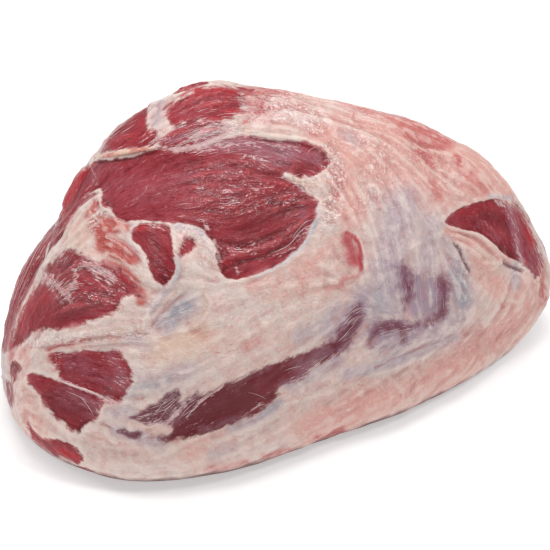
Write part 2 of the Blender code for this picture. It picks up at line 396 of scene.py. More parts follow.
HIDDEN_BARE = [
    # the cut face of the blunt end, with tongues of fat that reach into it
    ([(-70, 16), (-52, 22), (-40, 20), (-30, 30), (-24, 44), (-30, 56), (-20, 66), (-24, 82), (-32, 90),
      (-28, 104), (-40, 118), (-56, 126), (-68, 118), (-62, 102), (-74, 92), (-70, 74), (-80, 60),
      (-76, 40)], 1.6, "blunt"),
    # the long muscle low on the blunt end
    ([(-8, 40), (-2, 50), (8, 54), (12, 66), (22, 76), (30, 70), (38, 60), (36, 50), (28, 44), (24, 36),
      (10, 32)], 1.1, "blunt"),
    # behind the ridge, torn open towards the back
    ([(18, 154), (34, 152), (48, 146), (58, 136), (72, 128), (76, 114), (66, 104), (54, 108), (46, 102),
      (30, 108), (26, 118), (12, 122), (-2, 132), (-14, 136), (-6, 144), (6, 142)], 1.9, "back"),
    # the long muscle low on the back
    ([(-108, 30), (-96, 38), (-84, 36), (-70, 44), (-52, 50), (-36, 46), (-22, 50), (-8, 46), (4, 38),
      (-4, 30), (-20, 32), (-34, 26), (-50, 28), (-64, 22), (-82, 26), (-96, 22)], 1.2, "back"),
    # a small window beside it
    ([(56, 54), (66, 64), (76, 62), (88, 66), (94, 52), (88, 42), (78, 44), (68, 36)], 0.8, "back"),
    # high on the back of the tapered end
    ([(-98, 88), (-88, 92), (-80, 100), (-66, 104), (-58, 98), (-66, 92), (-76, 90),
      (-84, 84)], 1.4, "back"),
]
print("bare muscles:", len(BARE) + len(HIDDEN_BARE))

# %% Outlines of the muscle under thin skin
UNDER_SKIN = [
    # the long dark muscle
    ([(164, 441), (171, 432), (172, 420), (178, 409), (188, 400), (202, 394), (214, 391), (226, 383),
      (243, 377), (260, 368), (278, 361), (298, 355), (318, 348), (332, 343), (336, 352), (324, 362),
      (311, 370), (302, 381), (290, 383), (281, 388), (275, 400), (262, 411), (248, 419), (228, 426),
      (207, 432), (186, 438)], 0.9),
]
HIDDEN_UNDER_SKIN = [
    ([(22, 58), (8, 66), (-8, 68), (-22, 76), (-42, 74), (-56, 76), (-68, 70), (-54, 64), (-44, 60),
      (-26, 60), (-12, 54), (4, 54)], 1.8, "back"),
    ([(18, 18), (32, 24), (48, 22), (62, 27), (82, 22), (98, 16), (76, 14), (60, 10),
      (40, 13)], 1.6, "back"), ([(40, 100), (54, 92), (50, 74), (38, 80)], 1.6, "blunt"),
]
CLOUDY = [
    # the streaked part at the lower left, and the fragments below it
    ([(128, 418), (138, 413), (144, 410), (150, 404), (157, 402), (163, 395), (171, 390), (179, 388),
      (182, 396), (178, 402), (188, 398), (200, 390), (194, 404), (182, 416), (170, 426), (158, 422),
      (150, 426), (140, 422)], 0.8),
    ([(117, 431), (124, 427), (130, 431), (138, 429), (146, 433), (140, 438), (131, 440),
      (124, 436)], 0.8), ([(155, 438), (164, 434), (178, 437), (170, 443), (160, 443)], 0.9),
    # the upper end of the long dark muscle
    ([(316, 350), (328, 342), (338, 330), (346, 318), (352, 306), (362, 299), (364, 312), (359, 328),
      (351, 344), (340, 356), (322, 362)], 2.0),
    # the blotches right of it
    ([(370, 330), (376, 321), (390, 319), (404, 320), (410, 328), (408, 342), (400, 345), (397, 335),
      (384, 334), (374, 344), (366, 350)], 2.4),
    ([(436, 275), (447, 275), (452, 286), (450, 300), (450, 312), (442, 324), (426, 328), (410, 332),
      (400, 326), (416, 320), (432, 314), (438, 296)], 2.2),
    ([(396, 262), (408, 264), (414, 280), (414, 298), (404, 310), (400, 290)], 3.0),
    ([(-44, 60), (-28, 58), (-14, 50), (0, 46), (12, 36), (30, 28), (36, 18), (22, 18), (8, 24),
      (-6, 34), (-20, 38), (-34, 48)], 1.6, "tapered"),
]
PURPLE = [
    ([(393, 266), (402, 262), (412, 270), (424, 275), (436, 275), (448, 279), (450, 300), (444, 316),
      (430, 322), (414, 320), (404, 312), (399, 296), (393, 280)], 2.8),
    ([(336, 318), (352, 304), (366, 296), (368, 316), (360, 336), (344, 350), (330, 348)], 4.0),
    ([(366, 322), (392, 316), (418, 320), (436, 322), (424, 336), (404, 348), (374, 352)], 4.0),
    ([(30, 60), (-10, 74), (-60, 80), (-80, 66), (-40, 54), (10, 46)], 4.0, "back"),
    ([(-54, 62), (-20, 62), (14, 46), (44, 34), (42, 12), (8, 16), (-24, 32), (-48, 48)], 5.0, "tapered"),
]
print("muscles under skin:", len(UNDER_SKIN + HIDDEN_UNDER_SKIN + CLOUDY + PURPLE))

# %% [markdown]
# ## Which way the fibres run
#
# Muscle fibres, and the streaks in fat and silvery skin, are combed along the meat. A few dozen
# short arrows say which way, as angles in the view, and every vertex takes a blend of those nearby.

# %% Arrows for the fibres
ARROWS = {
    "photo": [
        (130, 190, 25), (180, 185, 10), (220, 175, 6), (230, 212, 16), (262, 245, 24), (292, 222, 38),
        (280, 153, -4), (318, 162, -15), (100, 175, 30), (160, 208, 20), (205, 150, 10),
        (200, 108, 24), (170, 125, 32), (232, 100, 18), (125, 128, 50), (110, 150, 26), (220, 135, 12),
        (185, 88, 20), (160, 112, 40), (195, 135, 26), (245, 118, 14), (100, 150, 52),
        (280, 115, -10), (330, 112, -28), (400, 135, -28), (460, 162, -42), (500, 186, -50),
        (336, 180, -75), (328, 222, 32), (345, 205, -80), (380, 180, -60), (430, 200, -50),
        (300, 290, 14), (250, 310, 24), (240, 342, 27), (200, 350, 24), (285, 332, 20), (320, 300, 12),
        (372, 262, -84), (400, 240, -86), (385, 300, -76), (352, 320, 62), (345, 345, 40),
        (420, 292, -82), (440, 300, -86), (390, 330, 20), (400, 355, 25), (350, 255, -70),
        (240, 400, 27), (190, 420, 38), (300, 370, 22), (150, 412, 40), (165, 405, 46),
        (150, 455, 8), (230, 448, 14), (300, 425, 20), (370, 400, 22), (430, 375, 26), (480, 345, 36),
        (510, 310, 55), (525, 280, 76), (480, 285, 62), (132, 433, 10),
        (470, 215, 12), (500, 225, -45), (520, 235, -64), (535, 250, -76), (480, 245, -30),
        (80, 188, 52), (78, 222, 58), (96, 215, 66), (110, 250, -24), (130, 266, -36), (140, 286, -70),
        (160, 255, -78), (100, 232, -50),
        (30, 320, 52), (50, 300, 46), (62, 265, 24), (92, 285, -30), (122, 276, -42), (90, 312, 12),
        (60, 232, 54), (40, 258, 62), (22, 298, 68), (8, 350, 82), (10, 400, 88), (66, 205, 58),
        (100, 336, 10), (160, 336, 8), (60, 346, 10), (90, 370, -10), (75, 406, -26), (55, 450, -30),
        (40, 415, -50), (176, 312, 50), (165, 295, 56), (200, 255, -60), (130, 380, -70),
        (110, 435, -20), (60, 365, 10), (190, 340, 20), (120, 345, 6),
    ],
    "back": [
        (-110, 60, -70), (-90, 90, -50), (-60, 100, -20), (-60, 38, 8), (0, 40, 4), (-20, 66, 6),
        (0, 110, -25), (40, 130, -35), (50, 90, -30), (80, 60, -50), (60, 20, -10), (110, 40, -70),
        (-20, 130, -15), (20, 20, 4), (-80, 14, 6),
    ],
    "blunt": [(-50, 40, 75), (-60, 80, 70), (-50, 110, 60), (0, 60, 60), (30, 40, 60), (20, 90, 70)],
    "tapered": [(0, 40, -75), (-30, 50, -70), (30, 60, -60), (10, 90, -40)],
    "top": [(0, 20, 0), (50, 10, -10), (90, 0, -20), (-40, 30, 20), (100, 30, 20), (40, 50, 10)],
}


def comb_directions(reach=0.013):
    """The direction of the fibres at every vertex, along the skin."""
    total = np.zeros_like(skin)
    weight = np.full(len(skin), 1e-9)
    for view, arrows in ARROWS.items():
        across, down, facing = SEEN[view]
        right, up = (np.array(axis) for axis in AXES[view])
        for x, y, angle in arrows:
            gap = np.hypot(across - x, down - y) + 1000 * (facing < 0.05)
            root = skin[gap.argmin()]
            away = ((skin - root) ** 2).sum(axis=1) / reach**2
            close = np.exp(-away / 2) + 0.001 / (1 + away)
            turn = math.radians(angle)
            total += close[:, None] * (math.cos(turn) * right + math.sin(turn) * up)
            weight += close
    total /= weight[:, None]
    total -= normals * (total * normals).sum(axis=1)[:, None]
    return total / np.maximum(np.linalg.norm(total, axis=1), 1e-6)[:, None]


comb = comb_directions()
print("arrows:", sum(len(arrows) for arrows in ARROWS.values()))


# %% Combed and plain noise on the skin
def plain_noise(size, seed):
    """Soft lumps of this size in metres, from about -1 to 1."""
    shift = (seed, 2.3 * seed, -1.7 * seed)
    return np.array([noise.noise(place) for place in (skin / size + shift)])


def combed_noise(size, reach, seed, taps=9):
    """Noise drawn out along the fibres: an average of fine noise over a short way along them."""
    total = np.zeros(len(skin))
    shift = np.array((seed, -1.9 * seed, 1.3 * seed))
    for step in np.linspace(-reach, reach, taps):
        moved = (skin + comb * step) / size + shift
        total += [noise.noise(place) for place in moved]
    return total / total.std()


streaks = combed_noise(0.0024, 0.007, 4.1)
cords = combed_noise(0.0055, 0.016, 8.6, taps=7)
wrinkles = combed_noise(0.0034, 0.0045, 2.7, taps=5)
lumps = plain_noise(0.022, 3.7)
small_lumps = plain_noise(0.008, 6.2)
frizz = plain_noise(0.0036, 5.3)
print(f"streaks reach {streaks.min():.1f} to {streaks.max():.1f}")

# %% [markdown]
# ## Tattered edges
#
# A cut edge wanders a little with the lumps and the cords. Where it is torn it also breaks up, and
# these strokes say where. From here on a stroke is its points, its width in millimetres, its
# strength, and its view if that isn't the photograph.

# %% Where an edge is tattered
TATTERED = [
    # the right end of the great face, and its edge at the white knob
    ([(309, 144), (322, 149), (333, 160), (327, 170), (313, 177), (300, 174)], 4.0, 1.0),
    ([(286, 178), (305, 188), (319, 200), (317, 213)], 4.0, 1.0),
    ([(220, 268), (216, 250), (211, 239), (203, 231), (191, 225)], 2.6, 0.8),
    ([(126, 221), (111, 211), (102, 204), (102, 193), (98, 189), (84, 197)], 2.6, 0.9),
    # the left lobe
    ([(45, 268), (63, 253), (79, 252), (95, 262), (117, 267), (134, 281), (143, 300)], 3.2, 1.1),
    ([(143, 300), (124, 299), (118, 311), (96, 320), (72, 327), (40, 332)], 2.6, 0.8),
    # the ridge
    ([(240, 87), (250, 92), (256, 100), (254, 112), (250, 124), (240, 136)], 5.0, 1.4),
    ([(172, 124), (166, 112), (160, 108), (172, 101), (190, 92)], 3.2, 1.0),
    ([(148, 112), (147, 128), (157, 134), (150, 146), (130, 148)], 3.4, 1.1),
    # the long red muscle and the spot
    ([(133, 233), (133, 241), (140, 247), (148, 263), (156, 283), (166, 285), (174, 270)], 2.4, 0.8),
    ([(180, 242), (197, 245), (190, 254), (180, 250)], 3.0, 0.3),
    # the lower patches
    ([(104, 398), (112, 404), (127, 393), (132, 382), (130, 368)], 2.8, 0.6),
    ([(66, 353), (50, 356), (54, 370), (58, 378), (76, 386)], 2.6, 0.7),
    ([(104, 400), (98, 418), (84, 428), (79, 433)], 2.0, 0.5),
    ([(31, 387), (45, 407), (66, 427)], 2.2, 0.35),
    ([(30, 430), (50, 440), (78, 452), (78, 462)], 2.0, 0.6),
    # the long dark muscle
    ([(336, 352), (311, 370), (290, 383), (275, 400), (262, 411)], 4.0, 1.0),
    ([(262, 411), (228, 426), (186, 438)], 3.0, 0.3),
    ([(164, 441), (172, 420), (188, 400), (214, 391)], 3.4, 1.0),
    ([(226, 383), (278, 361), (332, 343)], 3.0, 0.6),
    # the right window
    ([(500, 250), (510, 258), (522, 262)], 2.2, 1.0), ([(512, 214), (518, 236), (522, 254)], 2.4, 1.0),
    ([(516, 206), (534, 232), (541, 262)], 2.4, 0.8),
    # hidden sides
    ([(-100, 36), (0, 40), (100, 60)], 40, 0.9, "back"), ([(-60, 100), (60, 130)], 40, 0.9, "back"),
    ([(-60, 20), (-40, 120)], 40, 0.9, "blunt"), ([(20, 30), (30, 90)], 30, 0.9, "blunt"),
]
tattered = painted(TATTERED)
wander = 0.5 * small_lumps + 0.16 * cords + 0.1 * streaks


def depths(outlines):
    """The largest depth inside the outlines: in millimetres, and divided by each softness."""
    plain, eased = np.full(len(skin), -FAR), np.full(len(skin), -FAR)
    for outline, softness, *view in outlines:
        depth = area(outline, *view) + (0.15 + 0.75 * softness) * wander + 1.5 * tattered * frizz
        plain = np.maximum(plain, depth)
        eased = np.maximum(eased, depth / softness)
    return plain, eased


lean_depth, lean = depths(BARE + HIDDEN_BARE)
_, dark = depths(UNDER_SKIN + HIDDEN_UNDER_SKIN)
_, cloudy = depths(CLOUDY)
_, purple = depths(PURPLE)
print(f"lean on {np.mean(lean > 0):.0%} of the vertices, muscle under skin on {np.mean(dark > 0):.0%}")

# %% [markdown]
# ## Wet wrinkles
#
# Cut lean is smooth where the knife passed and wrinkled where the muscle was pulled apart. These
# strokes say where the surface is wrinkled, and both the relief and the gloss follow them.

# %% Where the surface is wrinkled
WRINKLED_EVERYWHERE = 0.12
WRINKLED = [
    ([(200, 178), (240, 170), (280, 160)], 11, 0.8), ([(210, 205), (250, 195), (290, 200)], 14, 1.0),
    ([(225, 250), (262, 248), (296, 232)], 9, 0.9), ([(175, 186), (190, 212)], 9, 0.5),
    ([(185, 104), (215, 100), (240, 98)], 7, 0.7), ([(165, 135), (200, 128), (235, 126)], 7, 0.9),
    ([(104, 206), (92, 226)], 6, 0.9), ([(104, 234), (136, 262)], 8, 0.5),
    ([(130, 122), (116, 140)], 6, 0.5), ([(105, 150), (90, 166)], 5, 0.6),
    ([(260, 105), (300, 112), (318, 126)], 10, 1.0), ([(330, 150), (334, 180), (330, 215)], 8, 1.0),
    ([(300, 185), (320, 184)], 4, 1.0), ([(350, 130), (380, 150), (370, 200)], 14, 0.7),
    ([(410, 150), (450, 180)], 14, 0.6), ([(64, 265), (90, 270), (110, 276)], 7, 1.0),
    ([(64, 300), (100, 296), (118, 290)], 8, 1.0), ([(40, 275), (66, 290)], 5, 0.9),
    ([(152, 230), (158, 270)], 5, 0.7), ([(180, 232), (204, 240), (206, 262)], 7, 0.7),
    ([(90, 215), (80, 240), (60, 258)], 6, 0.4), ([(60, 235), (30, 280), (12, 330)], 6, 0.3),
    ([(30, 340), (90, 338), (140, 332)], 5, 0.8), ([(170, 300), (185, 318), (160, 330)], 8, 0.5),
    ([(120, 380), (104, 396)], 5, 0.8), ([(45, 350), (20, 380), (22, 410)], 8, 0.5),
    ([(130, 400), (160, 400), (185, 395)], 7, 0.6), ([(120, 430), (170, 440)], 4, 0.6),
    ([(500, 262), (525, 266)], 4, 0.8), ([(540, 240), (545, 300)], 5, 0.4),
    ([(460, 232), (496, 256)], 4, 0.6), ([(430, 290), (440, 310)], 8, 0.5),
    ([(370, 340), (410, 335)], 6, 0.5), ([(235, 350), (330, 330)], 10, 0.3),
    ([(0, 40), (-60, 40)], 12, 0.8, "back"), ([(30, 130), (50, 124)], 14, 0.9, "back"),
    ([(0, 90), (-60, 96)], 16, 0.6, "back"), ([(70, 50), (90, 60)], 10, 0.6, "back"),
    ([(-50, 30), (-50, 100)], 18, 0.9, "blunt"), ([(10, 50), (26, 60)], 12, 0.6, "blunt"),
]
wrinkled = np.maximum(painted(WRINKLED), WRINKLED_EVERYWHERE)
print(f"wrinkled over {np.mean(wrinkled > 0.4):.0%} of the vertices")

# %% [markdown]
# ## Folds and creases
#
# A fold of fat stands up as a soft ridge with a crease beside it. Each is a line with a width and a
# height in millimetres, and a height below 0 is a crease. Small clumps of fat are folds so short
# that they are almost round.

# %% Lines of the folds
FOLDS = [
    # the shadow under the rolled lip, and the loose flap at the left
    ([(94, 162), (104, 161), (118, 160), (136, 156), (156, 151)], 1.0, -0.8),
    ([(92, 163), (86, 172), (79, 186), (72, 200), (64, 212)], 1.2, -1.4),
    ([(84, 164), (74, 179), (66, 193), (60, 207)], 3.2, 1.9),
    # the fold low on the great face
    ([(220, 262), (240, 254), (264, 247), (287, 234), (304, 220), (314, 210)], 2.0, 0.9),
    ([(222, 270), (244, 262), (268, 255), (290, 243), (305, 230)], 1.8, -0.8),
    # under the left lobe
    ([(26, 343), (46, 340), (70, 336), (96, 331), (120, 326), (141, 331)], 1.2, 0.5),
    ([(28, 348), (60, 346), (84, 340), (110, 336), (150, 334)], 1.2, -0.5),
    ([(40, 354), (62, 348), (90, 344), (124, 341), (150, 342)], 1.3, 0.5),
    # the pale strand and the hollow beside it
    ([(177, 256), (176, 276), (162, 294), (150, 310), (142, 330)], 1.9, 0.8),
    ([(190, 288), (172, 304), (158, 318), (149, 330)], 1.1, -0.6),
    ([(140, 365), (160, 369), (185, 369), (202, 361), (222, 352)], 1.2, -0.25),
    ([(204, 292), (210, 304), (204, 318), (192, 328), (168, 334)], 1.5, 0.5),
    ([(240, 300), (262, 292), (290, 286), (316, 284), (342, 281), (360, 274)], 2.0, 0.4),
    # the pocket right of the great face
    ([(352, 233), (361, 242), (365, 256), (366, 269)], 1.4, 0.45),
    ([(348, 240), (353, 250), (356, 262)], 3.4, -0.22),
    ([(363, 271), (356, 277), (344, 281), (330, 283)], 1.1, 0.4),
    # the lip of fat under the right window
    ([(446, 226), (463, 231), (481, 236), (494, 246), (506, 258), (518, 262)], 1.1, 0.7),
    ([(450, 231), (464, 234), (477, 239), (488, 248), (499, 259)], 0.8, -0.6),
    ([(452, 235), (466, 238), (478, 245), (490, 256)], 0.9, 0.5),
    ([(454, 239), (466, 242), (478, 251), (488, 262)], 0.8, -0.4),
    ([(458, 244), (468, 248), (478, 257)], 1.2, 0.4),
    ([(453, 242), (459, 250), (463, 260), (470, 272)], 1.3, -1.2),
    ([(502, 262), (510, 266), (517, 269), (524, 272)], 1.3, -1.1),
    ([(516, 212), (524, 224), (531, 240), (536, 258), (538, 276), (537, 300)], 1.2, 0.6),
    ([(514, 202), (526, 216), (536, 234), (541, 252), (543, 272), (543, 300)], 1.1, -0.6),
    # the roll at the lower left corner
    ([(78, 435), (80, 427), (88, 422), (100, 423), (110, 427)], 1.3, -0.7),
    ([(108, 427), (126, 438)], 1.3, -0.15), ([(76, 446), (84, 456)], 1.2, -0.5),
    ([(86, 430), (96, 428), (108, 434), (118, 444)], 3.0, 0.8),
    # the crease above the lower band, and the fold below it
    ([(371, 370), (384, 364), (407, 353), (433, 344), (464, 331)], 0.9, -0.6),
    ([(376, 374), (396, 368), (420, 358), (446, 347), (470, 335)], 2.2, 0.5),
    ([(284, 404), (310, 397), (340, 388), (368, 380)], 2.0, 0.4),
    ([(388, 376), (396, 384), (403, 396), (400, 408)], 1.5, 0.4),
    ([(412, 372), (416, 382), (410, 394)], 1.3, -0.4),
    # the roll of fat over the great face
    ([(246, 130), (260, 134), (287, 137), (305, 141), (321, 147), (332, 156)], 1.7, 0.6),
    ([(246, 136), (262, 139), (288, 142), (306, 146), (320, 151)], 1.0, -0.6),
    ([(149, 104), (148, 116), (148, 130)], 1.1, 0.5),
    ([(150, 105), (168, 98), (186, 92), (206, 86)], 1.6, 0.6),
    ([(176, 121), (162, 129), (152, 134)], 1.0, -0.6),
    # around the pink hollow at the top right
    ([(404, 132), (416, 142), (432, 147), (446, 150)], 1.2, -0.7),
    ([(402, 138), (416, 148), (434, 152), (452, 156)], 1.8, 0.6), ([(424, 156), (430, 161)], 1.6, -0.7),
    ([(457, 159), (461, 163)], 1.2, -0.8), ([(330, 102), (350, 110), (368, 118), (384, 124)], 1.6, 0.5),
    ([(316, 108), (328, 118), (336, 130)], 1.6, 0.5),
    # the line between the two lower patches
    ([(56, 379), (74, 386), (94, 393), (104, 398)], 0.9, 0.5),
    # ropes of the left strip
    ([(98, 200), (84, 222), (68, 240), (54, 254), (44, 268), (36, 286)], 1.6, 0.6),
    ([(88, 204), (72, 222), (56, 240), (42, 258), (30, 278), (20, 300), (12, 322)], 1.2, -0.6),
    ([(76, 204), (62, 221), (47, 238), (34, 257), (24, 277), (15, 300), (8, 326)], 1.2, 0.6),
    ([(64, 214), (50, 232), (36, 251), (26, 270), (17, 292)], 1.1, -0.6),
    # ridges in the left lobe
    ([(76, 276), (74, 268), (82, 264), (92, 266), (98, 264), (106, 272), (114, 279)], 1.5, 0.5),
    ([(43, 274), (52, 280), (62, 288), (66, 294)], 1.6, 0.4),
    ([(66, 290), (74, 282), (76, 272)], 1.4, 0.4),
    # clumps of fat at the tip of the white wedge
    ([(99, 196), (101, 203), (107, 208), (113, 216)], 1.7, 1.0),
    ([(92, 200), (90, 212), (98, 220)], 1.6, 0.7), ([(84, 206), (76, 222), (68, 236)], 1.8, 0.6),
    ([(100, 214), (106, 222), (116, 225)], 1.4, -0.5), ([(104, 236), (120, 244), (136, 258)], 1.2, 0.7),
    ([(100, 252), (116, 256), (132, 268)], 1.2, 0.6), ([(120, 228), (132, 238), (140, 252)], 1.3, 0.5),
    ([(170, 232), (175, 246), (177, 260)], 1.6, 0.6), ([(282, 192), (270, 200), (284, 204)], 2.0, -0.6),
]
HIDDEN_FOLDS = [
    ([(-118, 20), (-80, 16), (-30, 20), (20, 24)], 1.4, -0.7, "back"),
    ([(-100, 56), (-60, 64), (-10, 82), (30, 86), (70, 80), (96, 66)], 1.3, -0.8, "back"),
    ([(-96, 61), (-56, 71), (-10, 89), (34, 93), (76, 86)], 2.2, 0.7, "back"),
    ([(-110, 76), (-84, 82), (-50, 86), (-20, 100), (0, 120)], 1.6, 0.6, "back"),
    ([(0, 30), (6, 60), (16, 90), (30, 108)], 1.4, 0.5, "back"),
    ([(-20, 110), (0, 122), (24, 112), (44, 104)], 1.3, -0.6, "back"),
    ([(60, 24), (80, 34), (104, 30), (120, 22)], 1.5, 0.6, "back"),
    ([(-14, 20), (-14, 50), (-22, 80), (-30, 108)], 1.6, 0.7, "blunt"),
    ([(-34, 24), (-32, 60), (-42, 100)], 1.2, 0.5, "blunt"),
    ([(-48, 26), (-44, 60), (-52, 100)], 1.2, -0.5, "blunt"),
    ([(-64, 26), (-60, 60), (-60, 100)], 1.3, 0.5, "blunt"),
    ([(36, 30), (50, 40), (44, 62), (36, 84)], 1.4, -0.6, "blunt"),
    ([(-34, 26), (-10, 36), (14, 38), (36, 28)], 1.4, -0.7, "tapered"),
    ([(-20, 60), (0, 66), (24, 62)], 1.6, 0.6, "tapered"),
    ([(20, 40), (50, 30), (84, 12), (110, 4)], 1.6, 0.5, "top"),
    ([(-10, 60), (30, 58), (70, 40), (100, 30)], 1.4, -0.5, "top"),
]
CLUMPS = [
    (75, 269), (80, 264), (86, 263), (90, 268), (97, 266), (102, 271), (108, 275), (113, 279), (76, 275),
    (74, 281), (69, 285), (66, 290), (43, 275), (48, 279), (52, 284), (57, 287), (62, 292), (67, 295),
    (290, 176), (296, 179), (301, 183), (306, 187), (312, 191), (304, 176), (312, 178), (295, 183),
    (50, 275), (99, 205), (104, 210), (109, 209), (112, 215), (101, 215), (94, 210), (97, 198),
]
CLUMP_WIDTH, CLUMP_HEIGHT = 0.8, 0.8
FOLDS += [([(x, y), (x + 2, y + 1)], CLUMP_WIDTH, CLUMP_HEIGHT) for x, y in CLUMPS]

rise = np.zeros(len(skin))
# crease holds painted shade for the colour: how deep each vertex lies in a crease, and under the meat
crease = np.zeros(len(skin))
for points, width, height, *view in FOLDS + HIDDEN_FOLDS:
    mark = stroke(points, width, *view)
    rise += height * mark
    if height < 0:
        crease = np.maximum(crease, mark * min(1, -height))
# the underside near the floor gets painted shade as well
turned_under = soft(-normals[:, 2], 0.1, 0.8) * soft(-1000 * skin[:, 2], -30, -8)
crease = np.maximum(crease, 1.8 * turned_under)
print("folds and creases:", len(FOLDS) + len(HIDDEN_FOLDS))

# %% [markdown]
# ## The relief
#
# The fat ends in a small raised rim where its edge is crisp, and the bare lean lies a little lower.
# Streaks, cords, wrinkles and lumps are added in millimetres, and all of it fades out towards the
# floor. At the end every vertex has moved along its own normal.

# %% Move the skin
RIM_HEIGHT, LEAN_DROP = 0.24, 0.42
STREAK_HEIGHT, CORD_HEIGHT, WRINKLE_HEIGHT = 0.08, 0.10, 0.26
LUMP_HEIGHT, SMALL_LUMP_HEIGHT = 0.7, 0.68

crispness = lean / np.where(lean_depth == 0, 1, lean_depth)
rim = np.exp(-(((lean_depth + 1.5) / 1.3) ** 2)) * soft(crispness, 0.7, 1.6)
sunk = soft(lean_depth, -0.7, 0.7)
rise += RIM_HEIGHT * rim - LEAN_DROP * sunk
rise += STREAK_HEIGHT * streaks + CORD_HEIGHT * (2 - sunk) * cords
rise += WRINKLE_HEIGHT * wrinkled * wrinkles
rise += LUMP_HEIGHT * lumps + SMALL_LUMP_HEIGHT * small_lumps * (1 - 0.5 * sunk)
rise *= soft(1000 * skin[:, 2], 0.5, 9)

placed = skin + normals * rise[:, None] / 1000
placed[:, 2] = np.maximum(placed[:, 2], 0)
meat.data.vertices.foreach_set("co", placed.ravel())
meat.data.update()
print(f"the skin moved by {rise.min():.1f} to {rise.max():.1f} mm")

# %% How hollow each place is
edges = np.empty(2 * len(meat.data.edges), int)
meat.data.edges.foreach_get("vertices", edges)
one, other = edges.reshape(-1, 2).T
neighbours = np.bincount(one, minlength=len(skin)) + np.bincount(other, minlength=len(skin))


def evened(rows, rounds):
    """The rows after each has taken the average of its neighbours, several times over."""
    for _ in range(rounds):
        sums = [
            np.bincount(one, column[other], len(skin)) + np.bincount(other, column[one], len(skin))
            for column in rows.T
        ]
        rows = 0.5 * rows + 0.5 * np.array(sums).T / neighbours[:, None]
    return rows


hollow = 1000 * ((evened(placed, 14) - placed) * normals).sum(axis=1)
print(f"hollows reach {hollow.max():.2f} mm, ridges {-hollow.min():.2f} mm")

# %% [markdown]
# ## Strokes of colour
#
# Colour varies with more than the outlines: pink where lean lies close under the fat, bluish where
# silvery skin is thick, cream in the deepest fat. Veils of torn skin lie over the lean in streaks.
# Each is painted with soft strokes, and the shader breaks them up into threads. A few strokes paint
# light and shade instead: highlights on the fat and the lean, and shade on the lean and in two gashes.

# %% Strokes on the fat
PINK = [
    ([(256, 100), (310, 110), (350, 125)], 14, 0.7), ([(350, 125), (420, 150), (480, 185)], 24, 1.0),
    ([(345, 170), (350, 210)], 14, 0.8), ([(250, 285), (300, 268), (335, 240)], 9, 0.5),
    ([(120, 465), (220, 450), (300, 425)], 12, 0.35), ([(300, 430), (380, 402), (450, 372)], 14, 0.85),
    ([(450, 372), (505, 330), (530, 290)], 14, 0.9), ([(480, 260), (500, 290)], 10, 0.8),
    ([(450, 232), (480, 243), (508, 262)], 4, 1.1), ([(400, 120), (450, 140), (500, 190)], 12, 1.2),
    ([(330, 135), (360, 150), (420, 190)], 14, 1.1), ([(20, 350), (26, 400), (40, 440)], 8, 0.6),
    ([(70, 345), (140, 336)], 6, 0.5), ([(180, 240), (205, 260)], 7, 0.4),
    ([(140, 360), (180, 366)], 8, 0.3), ([(40, 100), (-60, 110)], 26, 0.8, "back"),
    ([(60, 20), (-60, 20)], 18, 0.8, "back"), ([(40, 40), (40, 20)], 16, 0.7, "tapered"),
    ([(60, 10), (20, 40)], 30, 0.8, "top"), ([(40, 20), (50, 60)], 14, 0.6, "blunt"),
]
BLUSH = [
    ([(405, 124), (425, 132), (446, 141)], 5.2, 1.2), ([(408, 136), (424, 144), (440, 147)], 3.0, 1.3),
    ([(350, 108), (385, 116), (404, 122)], 3.5, 0.75), ([(421, 154), (430, 161)], 3.4, 1.5),
    ([(456, 158), (461, 163)], 2.2, 1.6), ([(434, 184), (440, 196)], 3.0, 0.8),
    ([(468, 176), (484, 190)], 5, 0.6), ([(333, 165), (340, 178), (336, 195)], 3.4, 0.95),
    ([(250, 92), (272, 90), (292, 96)], 4, 0.9), ([(252, 108), (262, 100), (272, 106)], 4, 0.9),
    ([(285, 104), (300, 112)], 5, 0.6), ([(268, 122), (300, 126), (318, 132)], 4, 0.5),
    ([(378, 196), (380, 208)], 2.2, 0.8), ([(218, 310), (232, 306)], 3, 0.3),
    ([(246, 347), (258, 341)], 3.0, 0.5), ([(326, 288), (344, 284)], 2.6, 0.7),
    ([(541, 262), (546, 320)], 2.4, 0.9), ([(440, 345), (462, 338), (480, 330)], 4, 0.5),
    ([(310, 440), (342, 431)], 1.8, 1.0), ([(206, 470), (220, 467), (246, 461)], 1.8, 1.1),
    ([(262, 457), (290, 450)], 1.6, 1.0), ([(48, 350), (62, 346)], 1.8, 0.9),
    ([(70, 343), (90, 338)], 1.4, 0.6), ([(244, 92), (262, 98), (276, 108)], 5.5, 0.9),
    ([(240, 90), (262, 94), (286, 104)], 2.0, 1.3), ([(240, 101), (262, 108), (270, 120)], 1.8, 1.3),
    ([(240, 112), (258, 112), (274, 106)], 2.0, 1.1), ([(244, 122), (256, 118), (264, 122)], 1.6, 0.9),
    ([(14, 345), (10, 360)], 3, 0.8), ([(500, 304), (503, 307)], 1.2, 1.0),
    ([(344, 98), (352, 102)], 3, 0.7), ([(24, 410), (30, 440)], 2.2, 0.5),
    ([(60, 480), (70, 472)], 2, 0.6), ([(188, 244), (184, 262)], 2.2, 0.5),
    ([(160, 116), (170, 110)], 2, 0.5), ([(30, 60), (60, 70)], 7, 0.8, "back"),
    ([(-60, 90), (-20, 96)], 6, 0.8, "back"), ([(0, 130), (40, 124)], 7, 0.8, "back"),
    ([(-100, 50), (-90, 70)], 6, 0.8, "back"), ([(100, 40), (110, 60)], 6, 0.8, "back"),
    ([(40, 10), (80, 20)], 7, 0.8, "top"), ([(0, 60), (20, 62)], 6, 0.8, "top"),
    ([(50, 20), (44, 60)], 6, 0.7, "blunt"), ([(20, 40), (30, 70)], 6, 0.7, "tapered"),
]
